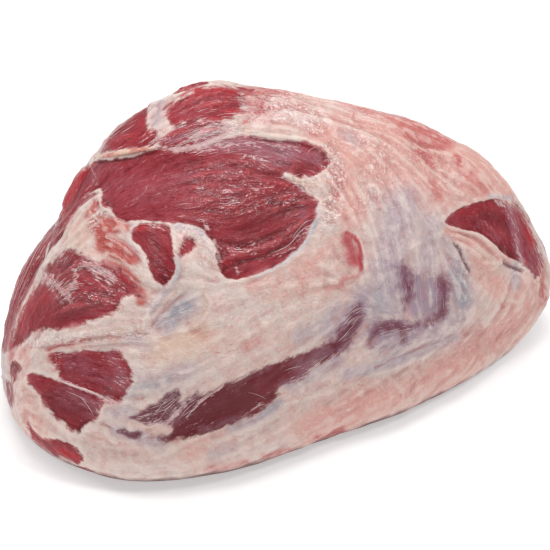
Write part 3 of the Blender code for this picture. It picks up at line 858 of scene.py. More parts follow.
SALMON = [
    ([(100, 226), (114, 226)], 5.6, 1.15), ([(101, 234), (102, 246)], 4.2, 1.1),
    ([(88, 217), (97, 203)], 2.4, 1.1), ([(104, 243), (118, 248), (134, 257)], 4.2, 1.3),
    ([(112, 254), (130, 262)], 2.4, 1.0), ([(128, 280), (139, 292), (141, 300)], 3.4, 1.1),
    ([(52, 358), (60, 362)], 3.4, 1.0), ([(108, 264), (120, 272), (130, 282)], 2.6, 0.9),
    ([(176, 292), (162, 310), (152, 324)], 1.2, 0.5), ([(48, 349), (62, 346), (80, 342)], 2.0, 0.7),
    ([(118, 226), (132, 230)], 3.4, 0.75), ([(106, 262), (124, 270), (136, 282)], 2.6, 0.9),
]
ROSE = [
    ([(348, 240), (350, 250), (354, 262)], 4.6, 1.0),
    ([(346, 233), (354, 237), (359, 245), (361, 256), (362, 269)], 1.1, 1.4),
    ([(362, 271), (354, 277), (340, 281)], 1.6, 0.7), ([(332, 246), (344, 262)], 10, 0.25),
    # creased red tissue at the right end of the ridge
    ([(250, 91), (258, 97), (262, 106), (257, 115)], 1.7, 0.75),
    ([(252, 88), (264, 90), (278, 94)], 1.3, 0.6), ([(247, 103), (256, 104), (266, 99)], 1.5, 0.7),
    ([(242, 113), (252, 110), (264, 112)], 1.4, 0.65),
]
# painted shade in the two gashes by the right window
GASH_SHADOWS = [
    ([(456, 244), (460, 251), (463, 260), (468, 268)], 1.5, 1.0),
    ([(503, 262), (512, 267), (522, 271)], 1.5, 1.0), ([(452, 241), (456, 246)], 0.9, 0.6),
    ([(506, 259), (516, 262)], 0.8, 0.6), ([(468, 268), (472, 276)], 0.8, 0.6),
]
CREAM = [
    ([(160, 346), (184, 342), (200, 336)], 8, 0.9), ([(150, 356), (196, 352)], 6, 0.7),
    ([(250, 132), (290, 138)], 1.8, 0.5), ([(296, 179), (318, 186)], 3, 0.7),
    ([(86, 222), (78, 244)], 7, 0.6), ([(206, 294), (206, 314), (188, 328)], 3, 0.5),
    ([(108, 333), (140, 331)], 3, 0.6), ([(482, 254), (498, 270)], 5, 0.5),
    ([(66, 246), (112, 252)], 3, 0.3), ([(166, 300), (160, 316)], 3, 0.5),
    ([(20, 70), (60, 74)], 9, 0.7, "back"), ([(0, 30), (20, 40)], 8, 0.6, "tapered"),
]
SILVER = [
    ([(402, 205), (392, 250), (384, 300)], 13, 0.95), ([(430, 225), (425, 262)], 9, 0.8),
    ([(345, 374), (385, 364), (420, 350), (455, 336)], 4, 0.9), ([(455, 262), (462, 300)], 8, 1.0),
    ([(366, 290), (352, 320)], 7, 0.8), ([(430, 335), (460, 318)], 7, 0.8),
    ([(446, 240), (456, 262)], 5, 0.7),
    ([(318, 206), (314, 226), (303, 244), (284, 261), (256, 275)], 1.9, 1.2),
    ([(176, 226), (196, 229), (208, 240)], 2.8, 1.0),
    ([(178, 258), (177, 276), (163, 294), (150, 312)], 2.2, 1.1),
    ([(164, 324), (174, 314), (188, 304)], 6.5, 1.1), ([(160, 104), (156, 122)], 4, 0.9),
    ([(130, 412), (110, 414)], 5, 0.8), ([(110, 392), (150, 384), (190, 372)], 6, 0.7),
    ([(280, 402), (262, 416), (230, 430)], 3, 0.9), ([(116, 430), (140, 438), (160, 442)], 4, 0.9),
    ([(300, 336), (324, 326), (336, 312)], 6, 0.7), ([(346, 132), (358, 146)], 5, 0.5),
    ([(516, 264), (516, 286)], 3.5, 0.8), ([(541, 215), (546, 255)], 3, 0.7),
    ([(490, 196), (510, 198)], 2, 0.8), ([(130, 338), (150, 346)], 5, 0.6),
    ([(140, 375), (130, 392)], 6, 0.7), ([(212, 455), (232, 450)], 5, 0.5),
    ([(5, 330), (4, 372), (8, 410)], 2.5, 0.9), ([(40, 262), (30, 284)], 1.6, 0.8),
    ([(290, 384), (320, 372), (340, 362)], 4, 0.9), ([(134, 224), (130, 240), (140, 256)], 2, 0.6),
    ([(-60, 60), (-20, 76), (30, 78)], 12, 1.0, "back"), ([(60, 30), (100, 50)], 10, 0.9, "back"),
    ([(-40, 110), (0, 100)], 10, 0.7, "back"), ([(-100, 30), (-110, 60)], 8, 0.8, "back"),
    ([(10, 50), (14, 90)], 10, 0.8, "blunt"), ([(-20, 40), (10, 46), (24, 70)], 10, 0.8, "tapered"),
    ([(60, 40), (100, 24)], 10, 0.7, "top"),
]
BLUE = [
    ([(172, 316), (178, 310), (186, 306)], 3.6, 0.95), ([(178, 320), (170, 328)], 3, 0.6),
    ([(458, 276), (464, 298)], 5, 1.1), ([(346, 378), (380, 368), (404, 360)], 2, 0.3),
    ([(376, 296), (380, 316)], 5, 0.8), ([(315, 222), (303, 244), (284, 261)], 1.8, 1.2),
    ([(118, 394), (150, 386), (168, 378)], 4, 0.8), ([(178, 262), (174, 282)], 1.8, 0.9),
    ([(196, 228), (207, 238)], 2.0, 0.8), ([(280, 400), (266, 412)], 3, 0.8),
    ([(206, 456), (216, 452)], 3, 0.8), ([(384, 400), (350, 404)], 3, 0.5),
    ([(350, 134), (356, 142)], 4, 0.4), ([(134, 414), (126, 424)], 3, 0.6),
    ([(392, 340), (396, 350)], 4, 0.8), ([(450, 312), (462, 306)], 4, 0.7),
    ([(-40, 66), (0, 72)], 7, 0.9, "back"), ([(0, 44), (10, 60)], 6, 0.8, "tapered"),
]
# painted highlights: pale strokes where the wet fat shines
PAINTED_HIGHLIGHTS = [
    ([(256, 106), (272, 100), (292, 101)], 4.5, 0.7), ([(258, 120), (285, 112), (308, 119)], 5.5, 0.8),
    ([(318, 106), (324, 116), (330, 126)], 1.8, 0.9), ([(338, 158), (341, 190), (336, 215)], 3.6, 0.6),
    ([(300, 96), (340, 106), (380, 120)], 3.0, 0.5), ([(392, 186), (404, 176)], 3.0, 0.5),
    ([(22, 346), (60, 338), (110, 332)], 3.0, 0.5), ([(186, 228), (204, 236), (212, 250)], 2.6, 0.7),
]
print("strokes on the fat:", len(PINK + BLUSH + SALMON + ROSE + GASH_SHADOWS + CREAM + SILVER + BLUE + PAINTED_HIGHLIGHTS))

# %% Strokes on the lean
VEIL = [
    # torn skin between the ridge and the great face
    ([(174, 150), (196, 147), (216, 140), (236, 133), (250, 130)], 1.9, 0.95),
    ([(156, 145), (172, 149)], 1.2, 0.7), ([(196, 137), (216, 130), (244, 126)], 3.4, 0.8),
    ([(156, 137), (170, 130), (184, 123)], 1.3, 0.75), ([(150, 142), (160, 136)], 1.3, 0.7),
    ([(200, 132), (216, 123), (226, 120)], 1.2, 0.8), ([(176, 146), (190, 139)], 1.0, 0.6),
    ([(184, 112), (208, 106), (240, 104)], 3.4, 0.12), ([(240, 96), (252, 112)], 3.2, 0.5),
    ([(180, 98), (210, 92), (236, 90)], 2.2, 0.12), ([(198, 120), (224, 126)], 3, 0.5),
    ([(200, 150), (230, 144), (262, 144), (296, 148)], 4.2, 0.42), ([(246, 158), (276, 160)], 3.6, 0.3),
    # the edge of the ridge, and the streaked strip at the left
    ([(96, 154), (110, 134), (126, 116), (142, 105)], 1.9, 0.6),
    ([(150, 98), (176, 90), (200, 84)], 1.6, 0.3), ([(140, 140), (156, 134)], 2.0, 0.3),
    ([(96, 178), (84, 198), (72, 212)], 2.2, 0.2), ([(94, 172), (96, 184)], 1.4, 0.3),
    ([(70, 218), (54, 240), (42, 262)], 2.0, 0.2), ([(44, 246), (30, 272), (20, 300)], 0.9, 0.4),
    ([(20, 296), (11, 330), (6, 352)], 0.9, 0.3), ([(60, 214), (44, 234)], 0.9, 0.3),
    # ragged threads in the left lobe
    ([(42, 272), (50, 281), (60, 289), (66, 295)], 2.6, 0.8),
    ([(66, 290), (74, 282), (75, 272)], 1.6, 0.7),
    ([(74, 270), (84, 265), (94, 267), (102, 273), (114, 280)], 2.0, 0.75),
    ([(98, 266), (112, 276)], 1.8, 0.7), ([(52, 290), (58, 300)], 1.6, 0.6),
    ([(62, 294), (70, 302)], 1.6, 0.55), ([(92, 270), (98, 280)], 1.4, 0.6),
    ([(104, 276), (110, 286)], 1.4, 0.6), ([(84, 284), (104, 290)], 4.0, 0.24),
    ([(50, 262), (70, 256)], 3.0, 0.24),
    # on the long red muscle and the spot
    ([(150, 226), (164, 228)], 2.4, 0.34), ([(180, 250), (184, 240)], 1.6, 0.3),
    # the great face: a few pale fibres, painted highlights as flecks, and a painted highlight on the wet
    # fold
    ([(236, 268), (238, 273)], 1.2, 0.7), ([(205, 225), (208, 229)], 1.6, 0.8),
    ([(214, 240), (220, 262)], 1.2, 0.8), ([(284, 176), (300, 183)], 1.8, 0.85),
    ([(300, 186), (316, 196)], 2.0, 0.8), ([(312, 222), (300, 240), (280, 258)], 1.6, 0.5),
    ([(240, 252), (262, 247)], 1.4, 0.5), ([(200, 186), (222, 198), (246, 206)], 5.0, 0.3),
    # the two lower patches
    ([(110, 356), (122, 370), (124, 390)], 4.6, 0.22), ([(104, 398), (114, 404)], 2.4, 0.6),
    ([(60, 354), (52, 366)], 2.6, 0.3), ([(100, 404), (98, 418)], 2.0, 0.4),
    ([(52, 378), (64, 382), (78, 388), (94, 394), (106, 399)], 0.75, 1.0),
    # the dark muscle and its streaked left part
    ([(130, 420), (150, 412), (170, 398), (190, 388)], 3.2, 0.25),
    ([(164, 430), (176, 412), (190, 400)], 2.2, 0.75), ([(150, 424), (168, 420), (176, 410)], 2.6, 0.5),
    ([(186, 418), (200, 402), (224, 386)], 0.9, 0.85), ([(262, 404), (240, 422)], 1.6, 0.4),
    ([(292, 384), (306, 376), (318, 366)], 2.0, 0.5),
    # the right window and the strip beyond its vein
    ([(508, 208), (513, 224), (518, 243), (523, 264)], 2.2, 0.35), ([(496, 201), (504, 206)], 1.2, 0.8),
    ([(14, 368), (13, 396)], 2.0, 0.35),
    # hidden sides
    ([(-20, 60), (-30, 100)], 5, 0.7, "blunt"), ([(-50, 30), (-46, 110)], 4, 0.6, "blunt"),
    ([(-66, 40), (-66, 110)], 4, 0.5, "blunt"), ([(12, 48), (24, 62)], 5, 0.35, "blunt"),
    ([(20, 140), (50, 126)], 5, 0.6, "back"), ([(-100, 32), (-40, 40), (0, 40)], 4, 0.5, "back"),
    ([(64, 50), (84, 54)], 4, 0.4, "back"), ([(-60, 66), (0, 66)], 4, 0.55, "back"),
]
HAZE = [
    # the first stroke, wide over the left of the great face, is a painted sheen; the others are thin skin
    ([(112, 184), (150, 190), (180, 186)], 22, 0.38), ([(66, 392), (94, 408)], 9, 0.48),
    ([(72, 362), (112, 376)], 9, 0.45), ([(60, 266), (84, 262)], 6, 0.35),
    ([(120, 300), (90, 312)], 6, 0.3), ([(205, 143), (250, 143), (292, 150)], 6.0, 1.0),
    ([(262, 158), (286, 162)], 5, 0.7), ([(292, 152), (314, 158)], 5.5, 0.7),
    ([(178, 112), (200, 104)], 3, 0.3), ([(168, 140), (200, 132), (240, 126)], 4, 0.6),
    ([(100, 168), (90, 180)], 4, 0.5), ([(78, 206), (96, 196)], 4, 0.6), ([(60, 312), (92, 306)], 6, 0.2),
    ([(110, 354), (124, 386)], 6, 0.55), ([(300, 205), (308, 225)], 4, 0.5),
    ([(240, 166), (215, 170)], 6, 0.4), ([(222, 192), (240, 190)], 4, 0.4),
    ([(480, 226), (500, 240)], 4, 0.5), ([(530, 250), (536, 274)], 5, 0.5),
    ([(508, 206), (514, 226), (519, 246), (524, 264)], 3.4, 0.8), ([(240, 98), (246, 108)], 4, 0.4),
    ([(20, 300), (40, 262)], 3, 0.3), ([(62, 402), (90, 406)], 6, 0.4),
    ([(128, 124), (112, 142)], 4, 0.2), ([(156, 256), (166, 280)], 4, 0.3),
    ([(298, 368), (326, 351)], 6, 0.8), ([(280, 386), (306, 374)], 3.5, 0.7),
    ([(162, 434), (178, 412), (196, 398)], 5, 0.7), ([(230, 384), (270, 366)], 3, 0.5),
    ([(200, 430), (250, 416)], 3, 0.5), ([(-40, 40), (-40, 100)], 10, 0.6, "blunt"),
    ([(-60, 36), (-20, 40)], 7, 0.6, "back"),
]
BRIGHT = [
    ([(60, 208), (67, 192), (77, 176), (87, 164)], 3.0, 1.5),
    ([(186, 93), (206, 90), (230, 90)], 3.6, 0.9), ([(228, 92), (246, 94)], 4, 1.0),
    ([(152, 130), (176, 121)], 1.8, 0.6), ([(130, 136), (150, 134)], 2.6, 0.5),
    ([(262, 188), (290, 188)], 4.0, 0.8), ([(18, 330), (30, 306), (44, 298)], 5, 0.6),
    ([(58, 450), (78, 458)], 2.6, 0.9), ([(110, 270), (128, 282)], 3.5, 0.7),
    ([(527, 228), (534, 246)], 2.4, 0.9), ([(70, 468), (90, 473)], 3, 1.4),
    ([(140, 228), (160, 227)], 3, 0.7), ([(54, 357), (62, 364)], 3, 0.5),
    # the first stroke here is painted light along the fold low on the great face; the rest are brighter
    # red lean
    ([(226, 260), (266, 252)], 3.4, 0.9), ([(150, 98), (190, 86)], 2.0, 1.0),
    ([(196, 106), (226, 103)], 3.0, 0.75), ([(212, 120), (222, 118)], 2.5, 1.0),
    ([(228, 112), (240, 109)], 2.5, 0.8), ([(460, 212), (490, 207)], 4, 0.5),
    ([(76, 356), (100, 354)], 2.4, 0.4), ([(40, 286), (46, 296)], 3, 0.4),
    ([(-60, 30), (-66, 60)], 5, 0.7, "blunt"), ([(30, 142), (50, 134)], 5, 0.7, "back"),
]
# painted shade on the bare lean
LEAN_SHADE_STROKES = [
    ([(72, 368), (112, 382)], 10, 0.55), ([(150, 236), (160, 270)], 6, 0.55),
    ([(40, 312), (110, 306)], 10, 0.35), ([(20, 320), (44, 292)], 6, 0.3),
    ([(112, 170), (150, 176), (190, 170)], 16, 0.2), ([(236, 240), (262, 218), (290, 206)], 7, 0.8),
    ([(300, 170), (322, 158)], 4, 0.8), ([(240, 178), (280, 172)], 6, 0.5),
    ([(154, 256), (164, 282)], 3.2, 0.9), ([(76, 368), (62, 372)], 4, 0.7),
    ([(50, 400), (90, 408)], 9, 0.9), ([(60, 318), (100, 300)], 4.5, 0.9),
    ([(222, 268), (250, 268)], 3, 0.6), ([(500, 248), (514, 254)], 4, 0.8),
    ([(486, 214), (508, 226)], 5, 0.8), ([(200, 418), (250, 400), (290, 372)], 10, 1.0),
    ([(272, 198), (286, 202)], 2.4, 1.2), ([(98, 162), (140, 157)], 2.0, 0.9),
    ([(40, 442), (76, 452)], 2.4, 0.5), ([(14, 364), (18, 372)], 3, 1.0),
    ([(58, 268), (50, 262)], 4, 0.5), ([(88, 174), (76, 196)], 2.0, 0.6),
    ([(70, 226), (60, 238)], 3, 0.8), ([(116, 134), (128, 122)], 3, 0.6),
    ([(-40, 60), (-50, 90)], 6, 0.7, "blunt"), ([(-60, 30), (-10, 36)], 4, 0.6, "back"),
]
VEIL += [([(x, y), (x + 2, y + 1)], 0.9, 1.1) for x, y in CLUMPS]
print("strokes on the lean:", len(VEIL + HAZE + BRIGHT + LEAN_SHADE_STROKES))

# %% Store the fields
STROKES = {
    "pink": PINK, "blush": BLUSH, "salmon": SALMON, "rose": ROSE, "gash_shadow": GASH_SHADOWS, "cream": CREAM,
    "silver": SILVER, "blue": BLUE, "painted_highlight": PAINTED_HIGHLIGHTS,
    "veil": VEIL, "haze": HAZE, "bright": BRIGHT, "lean_shade": LEAN_SHADE_STROKES,
}
fields = {
    "lean": lean, "lean_depth": lean_depth, "dark": dark, "cloudy": cloudy, "purple": purple,
    "tattered": tattered, "wrinkled": wrinkled, "crease": crease, "hollow": hollow,
    "streak": streaks, "cord": cords, "comb": comb,
}
for name, strokes in STROKES.items():
    fields[name] = painted(strokes)
for name, values in fields.items():
    is_direction = values.ndim == 2
    layer = meat.data.attributes.new(name, "FLOAT_VECTOR" if is_direction else "FLOAT", "POINT")
    layer.data.foreach_set("vector" if is_direction else "value", np.clip(values, -12, 12).ravel())
print("fields stored:", len(fields))

# %% [markdown]
# ## The material
#
# One material dresses the whole piece, because fat, silvery skin and lean run into each other. It
# starts with fat, lays silvery skin over it, then muscle seen through skin, then the bare lean, and
# at last the veils of torn skin. Each edge is a depth plus noise drawn out along the fibres. Small
# helpers make the nodes, and they work in whichever tree the name tree stands for.

# %% Helpers for materials
def blank_material(name):
    """A material with no nodes yet."""
    material = bpy.data.materials.new(name)
    material.use_nodes = True
    material.node_tree.nodes.clear()
    return material


def plain_material(name, values):
    """A material whose shader takes plain values."""
    material = bpy.data.materials.new(name)
    material.use_nodes = True
    for slot, value in values.items():
        material.node_tree.nodes["Principled BSDF"].inputs[slot].default_value = value
    return material


def dress(piece, material):
    piece.data.materials.clear()
    piece.data.materials.append(material)


def shade(red, green, blue):
    """A colour as it looks on a screen, from 0 to 255, as the shader needs it."""
    parts = []
    for part in (red, green, blue):
        part /= 255
        parts.append(part / 12.92 if part < 0.04045 else ((part + 0.055) / 1.055) ** 2.4)
    return (*parts, 1.0)


print("mid grey on a screen is", round(shade(128, 128, 128)[0], 3), "to the shader")

# %% Helpers for shader nodes
flesh_material = blank_material("raw_veal_flesh")
tree = flesh_material.node_tree


def node(kind, inputs=(), **settings):
    """A node with its settings, fed with sockets or plain values in order or by name."""
    new = tree.nodes.new(kind)
    for name, value in settings.items():
        setattr(new, name, value)
    for slot, value in (inputs.items() if isinstance(inputs, dict) else enumerate(inputs)):
        if isinstance(value, bpy.types.NodeSocket):
            tree.links.new(value, new.inputs[slot])
        else:
            new.inputs[slot].default_value = value
    return new


def field(name):
    return node("ShaderNodeAttribute", attribute_name=name).outputs["Fac"]


def calc(operation, *values):
    return node("ShaderNodeMath", values, operation=operation).outputs[0]


def times(product, *others):
    for other in others:
        product = calc("MULTIPLY", product, other)
    return product


def total(*terms):
    """The sum of sockets. A term may have a factor, and a middle value taken off it first."""
    result = None
    for term in terms:
        if isinstance(term, tuple):
            value, factor, middle = (*term, 0.0)[:3]
            term = calc("MULTIPLY_ADD", value, factor, -factor * middle)
        result = term if result is None else calc("ADD", result, term)
    return result


def span(value, low, high, first, last, **settings):
    """The value moved from one span to another, and held at its ends."""
    return node("ShaderNodeMapRange", (value, low, high, first, last), **settings).outputs[0]


def ramp(value, low, high, top=1.0):
    """0 below low, top above high, and a soft S between."""
    return span(value, low, high, 0.0, top, interpolation_type="SMOOTHSTEP")


def mixed(factor, under, over):
    """The over colour laid on the under colour."""
    return node("ShaderNodeMix", {0: factor, 6: under, 7: over}, data_type="RGBA").outputs[2]


def bumped(height, distance=1.0):
    """A normal that follows a height, in metres where the distance is 1."""
    inputs = {"Height": height, "Strength": 1.0, "Distance": distance}
    return node("ShaderNodeBump", inputs).outputs["Normal"]


def shifted(vector, amount, base):
    """The vector times an amount, added to a base."""
    amounts = (amount, amount, amount)
    return node("ShaderNodeVectorMath", (vector, amounts, base), operation="MULTIPLY_ADD").outputs[0]


def grain(scale, detail, where, roughness=0.55, what="Fac"):
    """Plain noise, about 0.5 in the middle. A scale of 1000 gives grains of a millimetre."""
    return node("ShaderNodeTexNoise", {
        "Vector": where, "Scale": scale, "Detail": detail, "Roughness": roughness,
    }).outputs[what]


def count_nodes(step):
    print(f"nodes after {step}:", len(tree.nodes))


count_nodes("the helpers")

# %% [markdown]
# ## Grains
#
# Nothing on meat is one flat colour. Plain noise from 24 millimetres down to 1 gives blots and
# specks, and two combed grains give fibres. A stretched texture would do where all fibres run one
# way, but here they turn with the muscles, so a combed grain adds up fine noise at seven places
# along the stored direction of the fibres.

# %% Grains of several sizes
place = node("ShaderNodeTexCoord").outputs["Object"]
fibre = node("ShaderNodeAttribute", attribute_name="comb").outputs["Vector"]
wavy = shifted(grain(170, 1.0, place, what="Color"), 0.003, place)


def combed_grain(scale, spacing, taps=7, spread=0.11):
    """Fine noise drawn out along the fibres, from 0 to 1."""
    steps = [(tap - (taps - 1) / 2) * spacing for tap in range(taps)]
    result = total(*(grain(scale, 0.0, shifted(fibre, step, wavy)) for step in steps))
    return span(result, taps * (0.5 - spread), taps * (0.5 + spread), 0.0, 1.0)


fine = combed_grain(1500, 0.0005)
middle = combed_grain(520, 0.0013)
patch = grain(140, 3.0, place)
blot = grain(210, 4.0, wavy, 0.6)
mottle = grain(640, 3.0, wavy, 0.6)
speck = grain(900, 2.0, place)
broad = grain(42, 2.0, place)
streak, cord, wrinkling = field("streak"), field("cord"), field("wrinkled")
ragged = total((fine, 0.5, 0.5), (middle, 0.45, 0.5), (patch, 1.3, 0.5), (speck, 0.6, 0.5))
threads = total((fine, 0.85, 0.5), (middle, 0.5, 0.5), (streak, 0.05))
tatters = total((speck, 1.4, 0.5), (mottle, 1.8, 0.5), (middle, 1.6, 0.5), (fine, 0.8, 0.5))
tatters = times(tatters, field("tattered"))
count_nodes("the grains")

# %% [markdown]
# ## Torn edges
#
# Most masks are made in one of two ways. A depth has a torn edge: grain pushes it in and out, and
# further where the edge is tattered. A soft stroke is broken up by grain or by the fibres. An edge
# without grain would look painted on, and a mesh fine enough to hold it would be far too heavy.

# %% Torn edges and broken strokes
def torn(name, width, fray, top=1.0):
    """Where a depth lies inside its outline, with a frayed edge that widens where it is tattered."""
    reach = calc("MULTIPLY_ADD", field("tattered"), 0.9, width)
    return ramp(total(field(name), (ragged, fray), tatters), calc("MULTIPLY", reach, -1.0), reach, top)


def broken(name, fray, width, top, grains=ragged):
    """Where a soft stroke is strong, broken up by the grains."""
    return ramp(total(field(name), (grains, fray)), 0.5 - width, 0.5 + width, top)


lean_mask = torn("lean", 0.5, 0.9)
dark_mask = torn("dark", 0.7, 1.1, 0.97)
count_nodes("the torn edges")

# %% [markdown]
# ## Fat
#
# Veal fat is cream where it is thick and pink where lean lies close beneath. It could be one colour
# with a glow under it, but that looks like wax, so the pink is patchy at two sizes. Pale and warm
# marbling, red lines beside the cords and short veins lie over it, and then the painted strokes.

# %% Fat, from cream to pink
CREAM_FAT, PINK_FAT, YELLOW_FAT = shade(216, 199, 191), shade(222, 168, 158), shade(217, 184, 161)
PALE_FAT, WARM_FAT = shade(246, 230, 222), shade(208, 158, 148)
FINE_LINE, VEIN_RED = shade(196, 122, 112), shade(190, 96, 92)
BLUSH_RED, BLUSH_PINK = shade(186, 74, 74), shade(204, 107, 104)
SALMON_RED, SALMON_PINK = shade(176, 62, 58), shade(197, 96, 88)

pink = ramp(total(field("pink"), (blot, 0.9, 0.5), (broad, 1.2, 0.5), (threads, 0.12)), 0.0, 1.0)
marbling = total((mottle, 1.2, 0.5), (threads, 0.25))
line = ramp(calc("ABSOLUTE", total(cord, (middle, 0.5, 0.5))), 0.16, 0.0)
line = times(line, ramp(total(blot, (wrinkling, 0.1)), 0.42, 0.62, 0.5))
vein = ramp(calc("ABSOLUTE", total((middle, 1.0, 0.5), (mottle, 0.6, 0.5))), 0.08, 0.0)
vein = times(vein, ramp(total((blot, 0.8, 0.5), (wrinkling, 0.45)), 0.22, 0.42, 0.7))
blush = mixed(ramp(mottle, 0.4, 0.6), BLUSH_RED, BLUSH_PINK)
salmon = mixed(ramp(threads, -0.3, 0.5), SALMON_RED, SALMON_PINK)

fat = mixed(pink, CREAM_FAT, PINK_FAT)
fat = mixed(ramp(marbling, 0.02, 0.3, 0.4), fat, PALE_FAT)
fat = mixed(ramp(marbling, -0.03, -0.32, 0.4), fat, WARM_FAT)
fat = mixed(ramp(field("cream"), 0.1, 1.0, 0.65), fat, YELLOW_FAT)
fat = mixed(line, fat, FINE_LINE)
fat = mixed(vein, fat, VEIN_RED)
fat = mixed(broken("blush", 0.5, 0.6, 0.75), fat, blush)
fat = mixed(broken("salmon", 0.28, 0.42, 0.95), fat, salmon)
count_nodes("the fat")

# %% [markdown]
# ## Silvery skin
#
# Silvery skin is a tough sheet about as thin as paper, grey with pale threads, and bluish where it
# is thick. It could be a mesh of its own, but one so thin would cut in and out of the fat beneath,
# so it is a layer of colour on the same surface.

# %% Silvery skin over it
SILVER_LIGHT, SILVER_DARK, BLUE_GREY = shade(202, 182, 185), shade(178, 160, 168), shade(140, 150, 160)
SILVER_THREAD, SILVER_SHADOW = shade(230, 218, 218), shade(166, 142, 152)

silver = mixed(ramp(blot, 0.35, 0.65), SILVER_LIGHT, SILVER_DARK)
silver = mixed(broken("blue", 0.3, 0.5, 0.65), silver, BLUE_GREY)
silver = mixed(ramp(threads, 0.0, 0.6, 0.5), silver, SILVER_THREAD)
silver = mixed(ramp(threads, -0.1, -0.6, 0.4), silver, SILVER_SHADOW)
outer = mixed(broken("silver", 0.35, 0.5, 0.95), fat, silver)
count_nodes("the silvery skin")

# %% [markdown]
# ## Muscle seen through skin
#
# Under thin skin the muscle shows dark and dull, and violet where the skin is thicker. A see-through
# shell over red meat could do it, but it renders slowly and bakes badly. The colours are mixed as
# they look instead: a violet tint, cloudy patches with darker cores, and the long dark muscle.

# %% Muscle seen through skin
VIOLET, CLOUD_RED, CLOUD_VIOLET, CLOUD_CORE = (
    shade(154, 134, 154), shade(112, 36, 56), shade(134, 82, 104), shade(102, 34, 49))
DARK_RED, DARK_BROWN, DARK_FIBRE, DARK_HAZE = (
    shade(118, 26, 40), shade(102, 22, 35), shade(150, 80, 92), shade(150, 104, 118))

cloudiness = field("cloudy")
cloud = ramp(total(cloudiness, (blot, 3.5, 0.5), (mottle, 2.0, 0.5), (threads, 0.4)), -0.8, 1.5, 0.88)
cloud_core = times(cloud, ramp(total(cloudiness, (mottle, 3.0, 0.5)), 1.2, 2.4, 0.8))
# haze of thin skin, and a painted sheen over the left of the great face
haze = ramp(total(field("haze"), (ragged, 0.45)), 0.15, 0.95, 0.7)
dark_meat = mixed(ramp(broad, 0.4, 0.6), DARK_RED, DARK_BROWN)
dark_meat = mixed(ramp(threads, 0.1, 0.8, 0.3), dark_meat, DARK_FIBRE)
dark_meat = mixed(haze, dark_meat, DARK_HAZE)

outer = mixed(torn("purple", 1.4, 1.2, 0.8), outer, VIOLET)
outer = mixed(cloud, outer, mixed(ramp(mottle, 0.42, 0.6), CLOUD_RED, CLOUD_VIOLET))
outer = mixed(cloud_core, outer, CLOUD_CORE)
outer = mixed(dark_mask, outer, dark_meat)
count_nodes("the muscle under skin")

# %% [markdown]
# ## Bare lean
#
# Cut lean is dark red, with light fibres and darker gaps between them. A tiled picture of meat
# would repeat, and its light would be fixed, so the fibres are the combed grain. Wrinkled lean is
# wetter and deeper in colour, and a pale film clings to it in patches near the edges.

# %% Bare lean
LEAN_DARK, LEAN_LIGHT, LEAN_SHADOW = shade(144, 43, 52), shade(158, 56, 65), shade(116, 36, 44)
LEAN_BRIGHT, LEAN_WET, LEAN_HAZE = shade(186, 45, 54), shade(134, 24, 36), shade(170, 112, 126)
LIGHT_FIBRE, DARK_GAP, FILM, HIGHLIGHT_WHITE = (
    shade(196, 84, 90), shade(98, 8, 17), shade(198, 128, 128), shade(247, 218, 214))

lean_inside = field("lean_depth")
brightness = ramp(total(field("bright"), (threads, 0.35)), 0.15, 1.1, 0.75)
film_patches = ramp(total((blot, 1.0, 0.5), (broad, 0.7, 0.5), (threads, 0.06)), -0.04, 0.12, 0.5)
# painted highlight, laid on everything but the bare lean
painted_highlight = ramp(total(field("painted_highlight"), (mottle, 1.6, 0.5), (threads, 0.3)), 0.25, 0.85, 0.65)

flesh = mixed(ramp(total(broad, (cord, 0.03)), 0.38, 0.64), LEAN_DARK, LEAN_LIGHT)
# painted shade on the lean where those strokes lie
flesh = mixed(ramp(field("lean_shade"), 0.1, 1.0, 0.8), flesh, LEAN_SHADOW)
flesh = mixed(brightness, flesh, LEAN_BRIGHT)
flesh = mixed(ramp(threads, 0.1, 0.85, 0.3), flesh, LIGHT_FIBRE)
flesh = mixed(ramp(threads, -0.1, -0.75, 0.75), flesh, DARK_GAP)
flesh = mixed(ramp(wrinkling, 0.15, 1.0, 0.6), flesh, LEAN_WET)
flesh = mixed(haze, flesh, LEAN_HAZE)
flesh = mixed(times(ramp(lean_inside, 2.6, 0.3), film_patches), flesh, FILM)
colour = mixed(lean_mask, mixed(painted_highlight, outer, HIGHLIGHT_WHITE), flesh)
count_nodes("the bare lean")

# %% [markdown]
# ## Veils, rims, painted light and shade, and painted glints
#
# Torn skin leaves white threads over the lean, and fat ends in a pale rim. Hollows get painted shade,
# ridges get painted light, and small painted glints stand where the surface is wrinkled. All of them
# could be meshes, but there are thousands, so only the longest threads are, further on. The rest is
# colour.

# %% Veils, pale rims, painted light on ridges, painted shade in hollows, painted glints
VEIL_PINK, VEIL_WHITE, RIM_WHITE = shade(214, 174, 174), shade(230, 202, 200), shade(238, 222, 218)
FAT_RIDGE_LIGHT, LEAN_RIDGE_LIGHT = shade(242, 224, 214), shade(206, 84, 90)
FAT_HOLLOW_SHADE, LEAN_HOLLOW_SHADE = shade(186, 126, 120), shade(92, 8, 16)
FAT_GLINT, LEAN_GLINT = shade(252, 236, 232), shade(242, 214, 217)

muscle = calc("MAXIMUM", lean_mask, calc("MAXIMUM", dark_mask, cloud))
off_muscle = calc("SUBTRACT", 1.0, muscle)
veil_mask = times(broken("veil", 0.75, 0.2, 0.8, threads), ramp(muscle, 0.1, 0.6))
hollowness = field("hollow")
# painted light on ridges: paler on fat and silvery skin, brighter red on wrinkled lean
ridge = ramp(hollowness, -0.02, -0.3, 0.4)
lit_wet_ridge = times(ridge, lean_mask, ramp(wrinkling, 0.2, 0.8))
